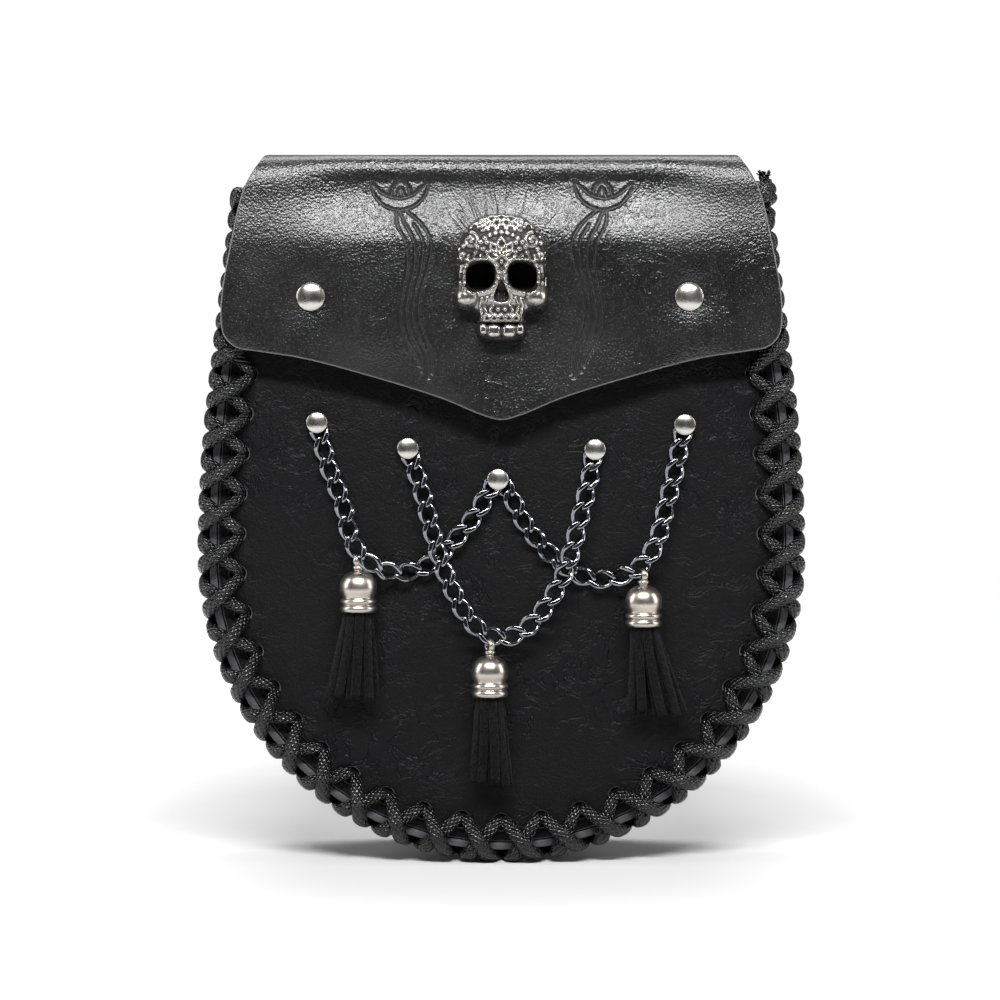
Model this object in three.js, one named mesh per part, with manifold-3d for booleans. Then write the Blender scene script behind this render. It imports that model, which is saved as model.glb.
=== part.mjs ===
// Belt pouch with a pointed flap, a cross-laced edge, chain swags and three tassels.
// Millimetres, +Z up, front towards -Y. The origin is on the back panel's outer face, at the
// middle of the belt's width.

import * as THREE from 'three';
import { mergeVertices } from 'three/addons/utils/BufferGeometryUtils.js';
import Module from 'manifold-3d';

const wasm = await Module();
wasm.setup();

// ---------------------------------------------------------------- driving dimensions

const TOP_Z = 50;                 // top of the fold, above the belt's centreline
const LEATHER = 2;                // hide thickness
const GAP = 0.3;                  // air between neighbouring pieces

const BODY_RADIUS = 101;          // round bottom, outside of the gusset
const CENTRE_BELOW_TOP = 138;     // centre of the round bottom
const SIDE_RADIUS = 480;          // flat arc of each side above the round bottom
const SIDE_ARC_RISE = 58;         // height of that arc, then the side runs straight
const MOUTH_BELOW_TOP = 12;       // upper edge of front panel and gusset
const MOUTH_DEPTH = 28;           // back face to front face at the mouth
const FRONT_LEAN = THREE.MathUtils.degToRad(5);   // the front runs outwards going down

const GUSSET_THICKNESS = 2.6;

const HOLE_INSET = 9.5;           // lacing holes, in from the outside of the gusset
const HOLE_DEPTH = 7.5;           // gusset holes, behind the front face
const HOLE_RADIUS = 2.9;
const HOLE_PITCH = 13.8;
const HOLES_EACH_SIDE = 19;       // and one at the bottom centre

const FLAP_STANDOFF = 7.2;        // the flap rides on the lacing
const FOLD_RADIUS = 11;           // outside of the two bends of the top fold
const FLAP_TOP_HALF_WIDTH = 84.7;

const CHAIN_PITCH = 6.94;
const LINK_WIRE = 1.1;            // wire diameter
const LINK_HALF_WIDTH = 2.8;      // centreline
const LINK_TWIST = THREE.MathUtils.degToRad(50);  // each end turns this far out of the plane
const CHAIN_LIFT = 2.2;           // centre of a chain that lies on the front panel
const CROSSING_LIFT = 6.3;        // centre of the chain that lies over another

// ---------------------------------------------------------------- derived sizes

const CENTRE_Z = TOP_Z - CENTRE_BELOW_TOP;
const MOUTH_Z = TOP_Z - MOUTH_BELOW_TOP;
const HOLE_LINE_RADIUS = BODY_RADIUS - HOLE_INSET;
const SIDE_LINE_RADIUS = SIDE_RADIUS - HOLE_INSET;
const SIDE_ANGLE = Math.asin(SIDE_ARC_RISE / SIDE_RADIUS);
const BOTTOM_RUN = HOLE_LINE_RADIUS * Math.PI / 2;
const SIDE_ARC_RUN = SIDE_LINE_RADIUS * SIDE_ANGLE;
const PANEL_EDGE = HOLE_INSET - GUSSET_THICKNESS - GAP;   // front panel, out from its holes

// ---------------------------------------------------------------- materials

const finish = (color, roughness, metalness) => (
  () => new THREE.MeshStandardMaterial({ color, roughness, metalness })
);
const frontLeather = finish(0x1c1c1e, 0.62, 0);
const flapLeather = finish(0x2a2a2c, 0.5, 0);
const gussetLeather = finish(0x2c2c2e, 0.6, 0);
const waxedCord = finish(0x121213, 0.55, 0);
const antiqueSilver = finish(0x8f8d88, 0.35, 1);
const nickel = finish(0xb9b2a8, 0.25, 1);
const gunmetal = finish(0x4a4c50, 0.3, 1);
const suede = finish(0x161617, 0.95, 0);

const pouch = new THREE.Group();

function addMesh(name, geometry, material, parent = pouch) {
  const mesh = new THREE.Mesh(geometry, material());
  mesh.name = name;
  parent.add(mesh);
  return mesh;
}

// ---------------------------------------------------------------- solids

function toSolid(geometry) {
  const bare = geometry.clone();
  bare.deleteAttribute('normal');
  bare.deleteAttribute('uv');
  const merged = mergeVertices(bare, 1e-4);
  const vertProperties = new Float32Array(merged.attributes.position.array);
  const triVerts = new Uint32Array(merged.index.array);
  return new wasm.Manifold(new wasm.Mesh({ numProp: 3, vertProperties, triVerts }));
}

function toGeometry(solid) {
  const mesh = solid.getMesh();
  const geometry = new THREE.BufferGeometry();
  geometry.setAttribute('position', new THREE.BufferAttribute(mesh.vertProperties, 3));
  geometry.setIndex(new THREE.BufferAttribute(mesh.triVerts, 1));
  return geometry;
}

function join(geometries) {
  return toGeometry(geometries.map(toSolid).reduce((whole, next) => whole.add(next)));
}

function cut(geometry, tools) {
  return toGeometry(tools.map(toSolid).reduce((left, tool) => left.subtract(tool), toSolid(geometry)));
}

function keepInside(geometry, envelope) {
  return toGeometry(toSolid(geometry).intersect(toSolid(envelope)));
}

// A flat outline, drawn in X and Z, made `thickness` thick from y = 0 towards the front.
function plate(outline, thickness, curveSegments = 4) {
  const geometry = new THREE.ExtrudeGeometry(outline, {
    depth: thickness, bevelEnabled: false, curveSegments,
  });
  return geometry.rotateX(Math.PI / 2);
}

function moveVertices(geometry, move) {
  const positions = geometry.attributes.position;
  const point = new THREE.Vector3();
  for (let index = 0; index < positions.count; index += 1) {
    point.fromBufferAttribute(positions, index);
    move(point);
    positions.setXYZ(index, point.x, point.y, point.z);
  }
  return geometry;
}

function polygonSection(radius, sides) {
  const corners = [];
  for (let corner = 0; corner < sides; corner += 1) {
    const angle = 2 * Math.PI * corner / sides;
    corners.push(new THREE.Vector2(radius * Math.cos(angle), radius * Math.sin(angle)));
  }
  return new THREE.Shape(corners);
}

// ---------------------------------------------------------------- the pouch's edge line

// Front face of the front panel at height z.
function frontY(z) {
  return -(MOUTH_DEPTH + (MOUTH_Z - z) * Math.tan(FRONT_LEAN));
}

// Point and outward direction on the line of the lacing holes. `station` is the distance along
// that line from the bottom centre, positive to the right.
function edgeFrame(station) {
  const side = station < 0 ? -1 : 1;
  const run = Math.abs(station);
  if (run <= BOTTOM_RUN) {
    const angle = run / HOLE_LINE_RADIUS;
    const outward = new THREE.Vector2(side * Math.sin(angle), -Math.cos(angle));
    const point = outward.clone().multiplyScalar(HOLE_LINE_RADIUS);
    point.y += CENTRE_Z;
    return { point, outward };
  }
  const angle = Math.min((run - BOTTOM_RUN) / SIDE_LINE_RADIUS, SIDE_ANGLE);
  const outward = new THREE.Vector2(side * Math.cos(angle), Math.sin(angle));
  const point = outward.clone().multiplyScalar(SIDE_LINE_RADIUS);
  point.x += side * (BODY_RADIUS - SIDE_RADIUS);
  point.y += CENTRE_Z;
  const straight = Math.max(run - BOTTOM_RUN - SIDE_ARC_RUN, 0);
  point.x -= side * straight * Math.sin(SIDE_ANGLE);
  point.y += straight * Math.cos(SIDE_ANGLE);
  return { point, outward };
}

const MOUTH_STATION = BOTTOM_RUN + SIDE_ARC_RUN
  + (MOUTH_Z - CENTRE_Z - SIDE_LINE_RADIUS * Math.sin(SIDE_ANGLE)) / Math.cos(SIDE_ANGLE);

// Corners of the outline `out` beyond the hole line, from the left mouth corner round the bottom
// to the right one. They lie midway between holes, so each hole is in the middle of a flat.
function edgeLine(out) {
  const stations = [-MOUTH_STATION];
  for (let hole = -HOLES_EACH_SIDE; hole <= HOLES_EACH_SIDE + 1; hole += 1) {
    stations.push((hole - 0.5) * HOLE_PITCH);
  }
  stations.push(MOUTH_STATION);
  return stations.map((station) => {
    const { point, outward } = edgeFrame(station);
    return point.clone().addScaledVector(outward, out);
  });
}

function holeStations() {
  const stations = [];
  for (let hole = -HOLES_EACH_SIDE; hole <= HOLES_EACH_SIDE; hole += 1) {
    stations.push(hole * HOLE_PITCH);
  }
  return stations;
}

// A point near the laced edge: `out` beyond the hole line, `lift` in front of the front face.
function edgePoint(station, out, lift) {
  const { point, outward } = edgeFrame(station);
  const flat = point.clone().addScaledVector(outward, out);
  return new THREE.Vector3(flat.x, frontY(flat.y) - lift, flat.y);
}

// ---------------------------------------------------------------- leather

function frontPanel() {
  const outline = new THREE.Shape(edgeLine(PANEL_EDGE));
  for (const station of holeStations()) {
    const { point } = edgeFrame(station);
    const corners = polygonSection(HOLE_RADIUS, 5).getPoints();
    outline.holes.push(new THREE.Path(corners.map((corner) => corner.add(point))));
  }
  return moveVertices(plate(outline, LEATHER), (point) => {
    point.y += LEATHER + frontY(point.z);
  });
}

function gusset() {
  const inner = HOLE_INSET - GUSSET_THICKNESS;
  const strip = new THREE.Shape([...edgeLine(HOLE_INSET), ...edgeLine(inner).reverse()]);
  const wall = moveVertices(plate(strip, 1), (point) => {
    point.y = point.y < -0.5 ? frontY(point.z) : -LEATHER - GAP;
  });
  const drills = holeStations().map((station) => {
    const { outward } = edgeFrame(station);
    const drill = new THREE.CylinderGeometry(HOLE_RADIUS, HOLE_RADIUS, 3 * GUSSET_THICKNESS, 5);
    drill.rotateZ(Math.PI / 2).rotateX(Math.PI / 2);
    drill.rotateY(-Math.atan2(outward.y, outward.x));
    const centre = edgePoint(station, HOLE_INSET - GUSSET_THICKNESS / 2, -HOLE_DEPTH);
    return drill.translate(centre.x, centre.y, centre.z);
  });
  return cut(wall, drills);
}

// Half of the flap's outline, from the top fold to the tip.
const FLAP_EDGE = [
  { half: FLAP_TOP_HALF_WIDTH, below: -1 },
  { half: FLAP_TOP_HALF_WIDTH, below: 2.5 },
  { half: 88, below: 14.5 },
  { half: 92, below: 31.5 },
  { half: 95.2, below: 46 },
  { half: 96.4, below: 55 },
  { half: 95.4, below: 61 },
  { half: 91.5, below: 65 },
  { half: 84, below: 66.5 },
  { half: 69, below: 68.8 },
  { half: 47, below: 74.5 },
  { half: 21, below: 82.5 },
  { half: 6, below: 88.6 },
  { half: 0, below: 90 },
];

function backAndFlap() {
  const backPanel = plate(new THREE.Shape(edgeLine(HOLE_INSET)), LEATHER);

  const foldZ = TOP_Z - FOLD_RADIUS;
  const flapY = (z) => frontY(z) - FLAP_STANDOFF - LEATHER;
  const backCentre = new THREE.Vector2(-FOLD_RADIUS, foldZ);
  const frontCentre = new THREE.Vector2(flapY(foldZ) + FOLD_RADIUS, foldZ);
  const bends = 4;
  const bendLine = (radius) => {
    const line = [];
    for (const [centre, start] of [[backCentre, 0], [frontCentre, Math.PI / 2]]) {
      for (let step = 0; step <= bends; step += 1) {
        const angle = start + step / bends * Math.PI / 2;
        line.push(new THREE.Vector2(
          centre.x + radius * Math.cos(angle), centre.y + radius * Math.sin(angle),
        ));
      }
    }
    return line;
  };
  const lowZ = TOP_Z - 2 * FLAP_EDGE.at(-1).below;
  const outer = bendLine(FOLD_RADIUS);
  const inner = bendLine(FOLD_RADIUS - LEATHER);
  const section = [
    new THREE.Vector2(0, foldZ - LEATHER),
    ...outer,
    new THREE.Vector2(flapY(lowZ), lowZ),
    new THREE.Vector2(flapY(lowZ) + LEATHER, lowZ),
    ...inner.reverse(),
    new THREE.Vector2(-LEATHER, foldZ - LEATHER),
  ];
  const reach = 2 * BODY_RADIUS + 10;
  const folded = new THREE.ExtrudeGeometry(new THREE.Shape(section), {
    depth: reach, bevelEnabled: false,
  });
  folded.rotateX(Math.PI / 2).rotateZ(Math.PI / 2).translate(-reach / 2, 0, 0);

  const right = FLAP_EDGE.map(({ half, below }) => new THREE.Vector2(half, TOP_Z - below));
  const left = FLAP_EDGE.slice(0, -1).map(({ half, below }) => (
    new THREE.Vector2(-half, TOP_Z - below)
  ));
  const blank = plate(new THREE.Shape([...right, ...left.reverse()]), 3 * MOUTH_DEPTH);
  blank.translate(0, 1, 0);
  return join([backPanel, keepInside(folded, blank)]);
}

// Where the belt passes: straps on the back, each with two feet against the back panel.
const BELT_HALF_HEIGHT = 24;      // half of the belt's width, with play
const BELT_ROOM = 6;              // belt thickness, with play
const LOOP_WIDTH = 26;
const LOOP_THICKNESS = 2;
const LOOP_FOOT = 13;             // sewn length of each foot
const LOOP_OFFSET = 48;           // strap middle, either side of the centre

function beltLoop(side) {
  const rise = BELT_ROOM;
  const inner = GAP;
  const outerTop = BELT_HALF_HEIGHT + LOOP_FOOT;
  const halfProfile = [
    { depth: inner, height: outerTop },
    { depth: inner + LOOP_THICKNESS, height: outerTop },
    { depth: inner + LOOP_THICKNESS, height: BELT_HALF_HEIGHT + 2.5 },
    { depth: inner + LOOP_THICKNESS + rise, height: BELT_HALF_HEIGHT - 3.5 },
  ];
  const innerHalf = [
    { depth: inner + rise, height: BELT_HALF_HEIGHT - 4.5 },
    { depth: inner, height: BELT_HALF_HEIGHT + 1.5 },
  ];
  const upper = [...halfProfile];
  const lower = [...halfProfile].reverse().map(({ depth, height }) => ({ depth, height: -height }));
  const lowerInner = [...innerHalf].reverse().map(({ depth, height }) => ({ depth, height: -height }));
  const profile = [...upper, ...lower, ...lowerInner, ...innerHalf];
  const shape = new THREE.Shape(profile.map(({ depth, height }) => new THREE.Vector2(depth, height)));
  const strap = new THREE.ExtrudeGeometry(shape, { depth: LOOP_WIDTH, bevelEnabled: false });
  strap.rotateX(Math.PI / 2).rotateZ(Math.PI / 2);
  return strap.translate(side * LOOP_OFFSET - LOOP_WIDTH / 2, 0, 0);
}

// ---------------------------------------------------------------- lacing

// A hand-laid route whose rings stand exactly at its points.
class HandRoute extends THREE.CatmullRomCurve3 {
  getUtoTmapping(share) {
    return share;
  }
}

// A tube through rings { centre, radius }, thinner where the cord is squeezed.
function squeezedTube(rings, sides) {
  const route = new HandRoute(rings.map(({ centre }) => centre), false, 'centripetal');
  const geometry = new THREE.ExtrudeGeometry(polygonSection(1, sides), {
    steps: rings.length - 1, bevelEnabled: false, extrudePath: route,
  });
  return moveVertices(geometry, (point) => {
    let ring = rings[0];
    for (const candidate of rings) {
      if (point.distanceToSquared(candidate.centre) < point.distanceToSquared(ring.centre)) {
        ring = candidate;
      }
    }
    point.sub(ring.centre).multiplyScalar(ring.radius).add(ring.centre);
  });
}

// One wrap of the cord towards the next hole: over the edge, in through that hole's gusset hole
// and up through its panel hole. `holes` counts pitches, `beside` is a sideways shift in mm.
const WRAP = [
  { holes: 0, beside: 1.2, out: 0, lift: 1.3, radius: 1.1 },
  { holes: 0.5, beside: 0, out: 6.8, lift: 1.95, radius: 1.6 },
  { holes: 0.72, beside: 0, out: 11.6, lift: 1.6, radius: 1.8 },
  { holes: 1, beside: -1.2, out: 11, lift: -7.3, radius: 1.15 },
  { holes: 1, beside: 0, out: 3.4, lift: -5.7, radius: 1.1 },
  { holes: 1, beside: 1.2, out: 0, lift: -2.2, radius: 1.1 },
];
// The returning pass rides over the first on the front and behind it inside the corner.
const RETURN_WRAP = WRAP.map((ring) => ({ ...ring }));
RETURN_WRAP[1].lift = 5.3;
RETURN_WRAP[4].out = 2.2;
RETURN_WRAP[4].lift = -9.3;

// At the upper left the cord turns round the edge of its last hole and sets off back.
const TURN_BACK = [
  { holes: 0, beside: -1.2, out: 0, lift: 1.3, radius: 1.1 },
  { holes: -0.36, beside: 0, out: 6.8, lift: 1.95, radius: 1.6 },
  { holes: -0.4, beside: 0, out: 11.6, lift: 1.6, radius: 1.8 },
  { holes: 0, beside: -1.2, out: 11, lift: -7.3, radius: 1.15 },
  { holes: 0, beside: 0, out: 2.2, lift: -9.3, radius: 1.1 },
  { holes: 0, beside: 1.2, out: 0, lift: -2.2, radius: 1.1 },
];

// At the upper right both ends meet in the knot.
const FROM_KNOT = [
  { holes: 0.75, beside: 0, out: 12.5, lift: -7.5, radius: 1.8 },
  { holes: 0.4, beside: 0, out: 12.3, lift: -8.3, radius: 1.8 },
  { holes: 0, beside: 1.2, out: 11, lift: -7.3, radius: 1.15 },
  { holes: 0, beside: 0, out: 3.4, lift: -5.7, radius: 1.1 },
  { holes: 0, beside: -1.2, out: 0, lift: -2.2, radius: 1.1 },
];
const TO_KNOT = [
  { holes: 0, beside: 1.2, out: 0, lift: 1.3, radius: 1.1 },
  { holes: 0.3, beside: 0, out: 6.8, lift: 2.4, radius: 1.6 },
  { holes: 0.45, beside: 0, out: 10.9, lift: 2.4, radius: 1.8 },
  { holes: 0.6, beside: 0, out: 12.2, lift: -1.5, radius: 1.8 },
  { holes: 0.75, beside: 0, out: 12.5, lift: -4.5, radius: 1.8 },
];

function laceRings() {
  const rings = [];
  const lay = (hole, direction, list) => {
    for (const { holes, beside, out, lift, radius } of list) {
      const station = (hole + direction * holes) * HOLE_PITCH + direction * beside;
      rings.push({ centre: edgePoint(station, out, lift), radius });
    }
  };
  const last = HOLES_EACH_SIDE;
  lay(last, 1, FROM_KNOT);
  for (let hole = last; hole > -last; hole -= 1) {
    lay(hole, -1, WRAP);
  }
  lay(-last, 1, TURN_BACK);
  for (let hole = -last; hole < last; hole += 1) {
    lay(hole, 1, RETURN_WRAP);
  }
  lay(last, 1, TO_KNOT);
  return rings;
}

const KNOT_RADIUS = 4.4;
const FRAYED_LENGTH = 9;

function edgeLace() {
  const cord = squeezedTube(laceRings(), 4);
  const middle = edgePoint((HOLES_EACH_SIDE + 0.85) * HOLE_PITCH, 12.6, -6);
  const knot = new THREE.IcosahedronGeometry(KNOT_RADIUS, 1);
  knot.scale(0.95, 1, 0.8).translate(middle.x, middle.y, middle.z);
  const frayed = new THREE.CylinderGeometry(2.4, 1.8, FRAYED_LENGTH, 6);
  frayed.rotateX(Math.PI / 2).rotateY(-0.15);
  frayed.translate(middle.x - 0.6, middle.y, middle.z + FRAYED_LENGTH / 2);
  return join([cord, knot, frayed]);
}

// ---------------------------------------------------------------- fittings on the front

// Inside this group x runs across, z up along the leather and -y out of it, from its face.
function leaningFrame(standoff) {
  const group = new THREE.Group();
  group.position.y = frontY(0) - standoff;
  group.rotation.x = -FRONT_LEAN;
  pouch.add(group);
  return group;
}

// A turned piece on the leather: `profile` lists radius and lift, from the axis to the axis.
function turned(profile, segments) {
  const points = profile.map(([radius, lift]) => new THREE.Vector2(radius, lift));
  return new THREE.LatheGeometry(points, segments).rotateX(Math.PI);
}

const OUTWARD = new THREE.Vector3(0, -1, 0);

// An oval of wire, twisted along its length so that a row of them lies flat. A held link is
// twisted at its far end only.
function curbLink(halfLength, held = false) {
  const axis = new THREE.Vector3(1, 0, 0);
  return moveVertices(new THREE.TorusGeometry(1, LINK_WIRE / 2, 3, 8), (point) => {
    const angle = Math.atan2(point.y, point.x);
    point.x += (halfLength - 1) * Math.cos(angle);
    point.y += (LINK_HALF_WIDTH - 1) * Math.sin(angle);
    const share = point.x / halfLength;
    point.applyAxisAngle(axis, LINK_TWIST * (held ? Math.max(share, 0) : share));
  });
}

function placeLink(link, middle, along) {
  const across = OUTWARD.clone().cross(along).normalize();
  const upright = along.clone().cross(across);
  const placement = new THREE.Matrix4().makeBasis(along, across, upright);
  return link.applyMatrix4(placement.setPosition(middle));
}

// The first link of each chain lies flat under its rivet, which goes through its upper end.
const HELD_LINK_HALF_LENGTH = 4.3;
const HELD_LINK_REACH = 3;            // its middle, from the rivet
const HELD_LINK_LIFT = 1.9;

const CHAIN_RIVETS = [
  { name: 'chain_rivet_1', x: -63.7, below: 91.8, pulls: [-76] },
  { name: 'chain_rivet_2', x: -32.3, below: 100.7, pulls: [-72] },
  { name: 'chain_rivet_3', x: -1.2, below: 111.4, pulls: [-128, -50] },
  { name: 'chain_rivet_4', x: 32.3, below: 101.1, pulls: [-106] },
  { name: 'chain_rivet_5', x: 63.3, below: 92.5, pulls: [-104] },
];

function pullDirection(rivet, pull) {
  const angle = THREE.MathUtils.degToRad(rivet.pulls[pull]);
  return new THREE.Vector3(Math.cos(angle), 0, Math.sin(angle));
}

function chainRivet(rivet) {
  const pieces = [turned([[0, GAP], [2.6, GAP], [3.6, 2.3], [2.6, 3.5], [0, 3.9]], 8)];
  rivet.pulls.forEach((degrees, pull) => {
    const along = pullDirection(rivet, pull);
    const middle = along.clone().multiplyScalar(HELD_LINK_REACH);
    middle.addScaledVector(OUTWARD, HELD_LINK_LIFT);
    pieces.push(placeLink(curbLink(HELD_LINK_HALF_LENGTH, true), middle, along));
  });
  return join(pieces).translate(rivet.x, 0, TOP_Z - rivet.below);
}

function flapRivet(x, below) {
  const cap = turned([[0, GAP], [4.2, GAP], [5, 1.1], [3.8, 2.3], [0, 2.9]], 10);
  return cap.translate(x, 0, TOP_Z - below);
}

// ---------------------------------------------------------------- chains

// Where a chain starts, in the far end of a rivet's held link.
function heldEnd(rivet, pull = 0) {
  const reach = HELD_LINK_REACH + HELD_LINK_HALF_LENGTH - LINK_WIRE / 2 - 1.5 * GAP;
  const along = pullDirection(rivet, pull);
  return {
    x: rivet.x + reach * along.x,
    below: rivet.below - reach * along.z,
    lift: HELD_LINK_LIFT,
  };
}

const [RIVET_1, RIVET_2, RIVET_3, RIVET_4, RIVET_5] = CHAIN_RIVETS;
const SWAGS = [
  {
    name: 'chain_left',
    linksPerNode: 1,
    route: [
      heldEnd(RIVET_1),
      { x: -59.4, below: 107.6, lift: CHAIN_LIFT },
      { x: -54.4, below: 120.6, lift: 3.2 },
      { x: -51.8, below: 131.2, lift: 5.8 },
      { x: -48.4, below: 137.4, lift: 6.9 },
      { x: -42.6, below: 141.8, lift: 5.8 },
      { x: -34.8, below: 143.6, lift: 3.2 },
      { x: -27, below: 141.8, lift: CHAIN_LIFT },
      { x: -20.5, below: 136.8, lift: CHAIN_LIFT },
      { x: -13.6, below: 129.3, lift: CHAIN_LIFT },
      { x: -7.8, below: 121.9, lift: CHAIN_LIFT },
      heldEnd(RIVET_3, 0),
    ],
  },
  {
    name: 'chain_middle',
    linksPerNode: 2,
    route: [
      heldEnd(RIVET_2),
      { x: -28.1, below: 112.8, lift: 2.6 },
      { x: -24.9, below: 124.9, lift: 4.8 },
      { x: -21.4, below: 138, lift: CROSSING_LIFT },
      { x: -16.2, below: 150.8, lift: CROSSING_LIFT },
      { x: -10.6, below: 160.2, lift: 6.5 },
      { x: -4.2, below: 165, lift: 6.5 },
      { x: 3.2, below: 165.4, lift: 6.5 },
      { x: 10.4, below: 161, lift: 6.5 },
      { x: 19.8, below: 147.6, lift: CROSSING_LIFT },
      { x: 24.3, below: 135.2, lift: CROSSING_LIFT },
      { x: 27.9, below: 121.4, lift: 4.8 },
      { x: 30.9, below: 108.5, lift: 2.6 },
      heldEnd(RIVET_4),
    ],
  },
  {
    name: 'chain_right',
    linksPerNode: 1,
    route: [
      heldEnd(RIVET_3, 1),
      { x: 8.3, below: 126.8, lift: CHAIN_LIFT },
      { x: 15, below: 135.2, lift: CHAIN_LIFT },
      { x: 22.3, below: 141.8, lift: CHAIN_LIFT },
      { x: 30.5, below: 145.6, lift: CHAIN_LIFT },
      { x: 39.4, below: 145.2, lift: 4 },
      { x: 46.6, below: 142.2, lift: 6 },
      { x: 51.6, below: 136.4, lift: 6.2 },
      { x: 54.8, below: 128.8, lift: 5 },
      { x: 56.8, below: 120.5, lift: 3 },
      { x: 60, below: 107.8, lift: CHAIN_LIFT },
      heldEnd(RIVET_5),
    ],
  },
];

const SOLDER_RADIUS = 0.4;

function swagLinks({ route }) {
  const points = route.map(({ x, below, lift }) => new THREE.Vector3(x, -lift, TOP_Z - below));
  const curve = new THREE.CatmullRomCurve3(points, false, 'centripetal');
  const length = curve.getLength();
  const count = Math.round(length / CHAIN_PITCH);
  const halfLength = (length / count + LINK_WIRE + 1.9 * GAP) / 2;
  const links = [];
  for (let index = 0; index < count; index += 1) {
    const share = (index + 0.5) / count;
    links.push(placeLink(curbLink(halfLength), curve.getPointAt(share), curve.getTangentAt(share)));
  }
  return { links, curve };
}

// Adds a swag's links to the frame: one mesh a link, or short stretches with a pin of solder
// between two links.
function addChain(swag, parent) {
  const { links, curve } = swagLinks(swag);
  const { linksPerNode, name } = swag;
  for (let first = 0; first < links.length; first += linksPerNode) {
    const pieces = links.slice(first, first + linksPerNode);
    for (let joint = first + 1; joint < first + linksPerNode; joint += 1) {
      const share = joint / links.length;
      const pin = new THREE.CylinderGeometry(SOLDER_RADIUS, SOLDER_RADIUS, 1.3 * LINK_WIRE, 3);
      pin.rotateZ(-Math.PI / 2);
      pieces.push(placeLink(pin, curve.getPointAt(share), curve.getTangentAt(share)));
    }
    const number = String(first / linksPerNode + 1).padStart(2, '0');
    addMesh(`${name}_${number}`, join(pieces), gunmetal, parent);
  }
}

// ---------------------------------------------------------------- tassels

// `x`, `below` and `lift` place the middle of each cap's eye, and `turn` faces it along the wire
// through it. The strips' ends lie around `lean`, as far as `spread` to either side.
const TASSELS = [
  { x: -49.3, below: 139.4, lift: 6.5, turn: -30, lean: -2.6, spread: 8.9 },
  { x: -4, below: 168.6, lift: 6.6, turn: 30, lean: 0.4, spread: 6.5 },
  { x: 48.9, below: 144.4, lift: 6.5, turn: 20, lean: 4.6, spread: 9.9 },
];
const EYE_RADIUS = 1.8;
const CAP_INSIDE = 5.3;           // radius of the cap's open lower end
const CAP_CEILING = -13.6;        // heights are from the middle of the eye
const CAP_RIM = -17.7;
const FRINGE_END = -48.4;
const STRIP_WIDTH = 3;
const STRIP_THICKNESS = 1.5;
const STRIPS = 6;

function tasselCap({ turn }) {
  const profile = [
    [0, -1.6], [1.2, -1.9], [1.2, -3.5], [4.4, -5], [6.2, -8.6], [5.5, -12.6], [6.1, -12.9],
    [6.1, CAP_RIM], [CAP_INSIDE, CAP_RIM], [CAP_INSIDE, CAP_CEILING], [0, CAP_CEILING],
  ].map(([radius, height]) => new THREE.Vector2(radius, height)).reverse();
  const bell = new THREE.LatheGeometry(profile, 9).rotateX(Math.PI / 2);
  const eye = new THREE.TorusGeometry(EYE_RADIUS, 0.5, 3, 7).rotateY(Math.PI / 2);
  return join([bell, eye]).rotateZ(THREE.MathUtils.degToRad(turn));
}

function tasselFringe({ lean, spread }) {
  const headRadius = CAP_INSIDE - 2 * GAP;
  const headTop = CAP_CEILING - GAP;
  const headHeight = headTop - CAP_RIM + 1.5;
  const head = new THREE.CylinderGeometry(headRadius, headRadius, headHeight, 6);
  head.rotateX(Math.PI / 2).translate(0, 0, headTop - headHeight / 2);
  const pieces = [head];
  const stripTop = CAP_RIM - 0.5;
  for (let strip = 0; strip < STRIPS; strip += 1) {
    const angle = 2 * Math.PI * (strip + 0.25) / STRIPS;
    const length = stripTop - FRINGE_END - (strip % 3);
    const lace = new THREE.BoxGeometry(STRIP_WIDTH, STRIP_THICKNESS, length);
    lace.rotateZ(angle + Math.PI / 2).translate(0, 0, stripTop - length / 2);
    const ring = headRadius - STRIP_THICKNESS;
    pieces.push(moveVertices(lace, (point) => {
      const low = point.z < stripTop - length / 2;
      point.x += Math.cos(angle) * (low ? spread : ring) + (low ? lean : 0);
      point.y += Math.sin(angle) * ring;
    }));
  }
  return join(pieces);
}

// ---------------------------------------------------------------- skull emblem

const SKULL_BELOW = 41.4;         // its middle, under the top fold

// A cast half-relief: cranium, cheekbones, upper jaw and four teeth, open at eyes and nose.
function skullEmblem() {
  const cranium = new THREE.SphereGeometry(1, 10, 8).scale(16, 9.5, 14.4).translate(0, 0, 8);
  const jaw = new THREE.CylinderGeometry(12, 7.8, 20, 8).rotateX(Math.PI / 2);
  jaw.scale(1, 0.65, 1).translate(0, 0, -6.5);
  const pieces = [cranium, jaw];
  for (const side of [-1, 1]) {
    const cheekbone = new THREE.OctahedronGeometry(1, 0).scale(6, 9, 6);
    pieces.push(cheekbone.translate(side * 10.4, 0, -6));
  }
  for (const place of [-1.5, -0.5, 0.5, 1.5]) {
    const tooth = new THREE.BoxGeometry(3.3, 7.5, 7);
    pieces.push(tooth.translate(place * 3.7, -3.2 + Math.abs(place) * 0.4, -18.3));
  }
  const openings = [-1, 1].map((side) => (
    new THREE.CylinderGeometry(5.6, 4.6, 30, 6).translate(side * 7.1, 0, 0.2)
  ));
  const nose = new THREE.CylinderGeometry(4.2, 3.6, 30, 3).rotateY(Math.PI);
  openings.push(nose.translate(0, 0, -5.2));
  const room = new THREE.BoxGeometry(50, 20, 60).translate(0, -10 - GAP, 0);
  return keepInside(cut(join(pieces), openings), room).translate(0, 0, TOP_Z - SKULL_BELOW);
}

addMesh('front_panel', frontPanel(), frontLeather);
addMesh('gusset', gusset(), gussetLeather);
addMesh('back_and_flap', backAndFlap(), flapLeather);
addMesh('belt_loop_left', beltLoop(-1), gussetLeather);
addMesh('belt_loop_right', beltLoop(1), gussetLeather);
addMesh('edge_lace', edgeLace(), waxedCord);

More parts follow.
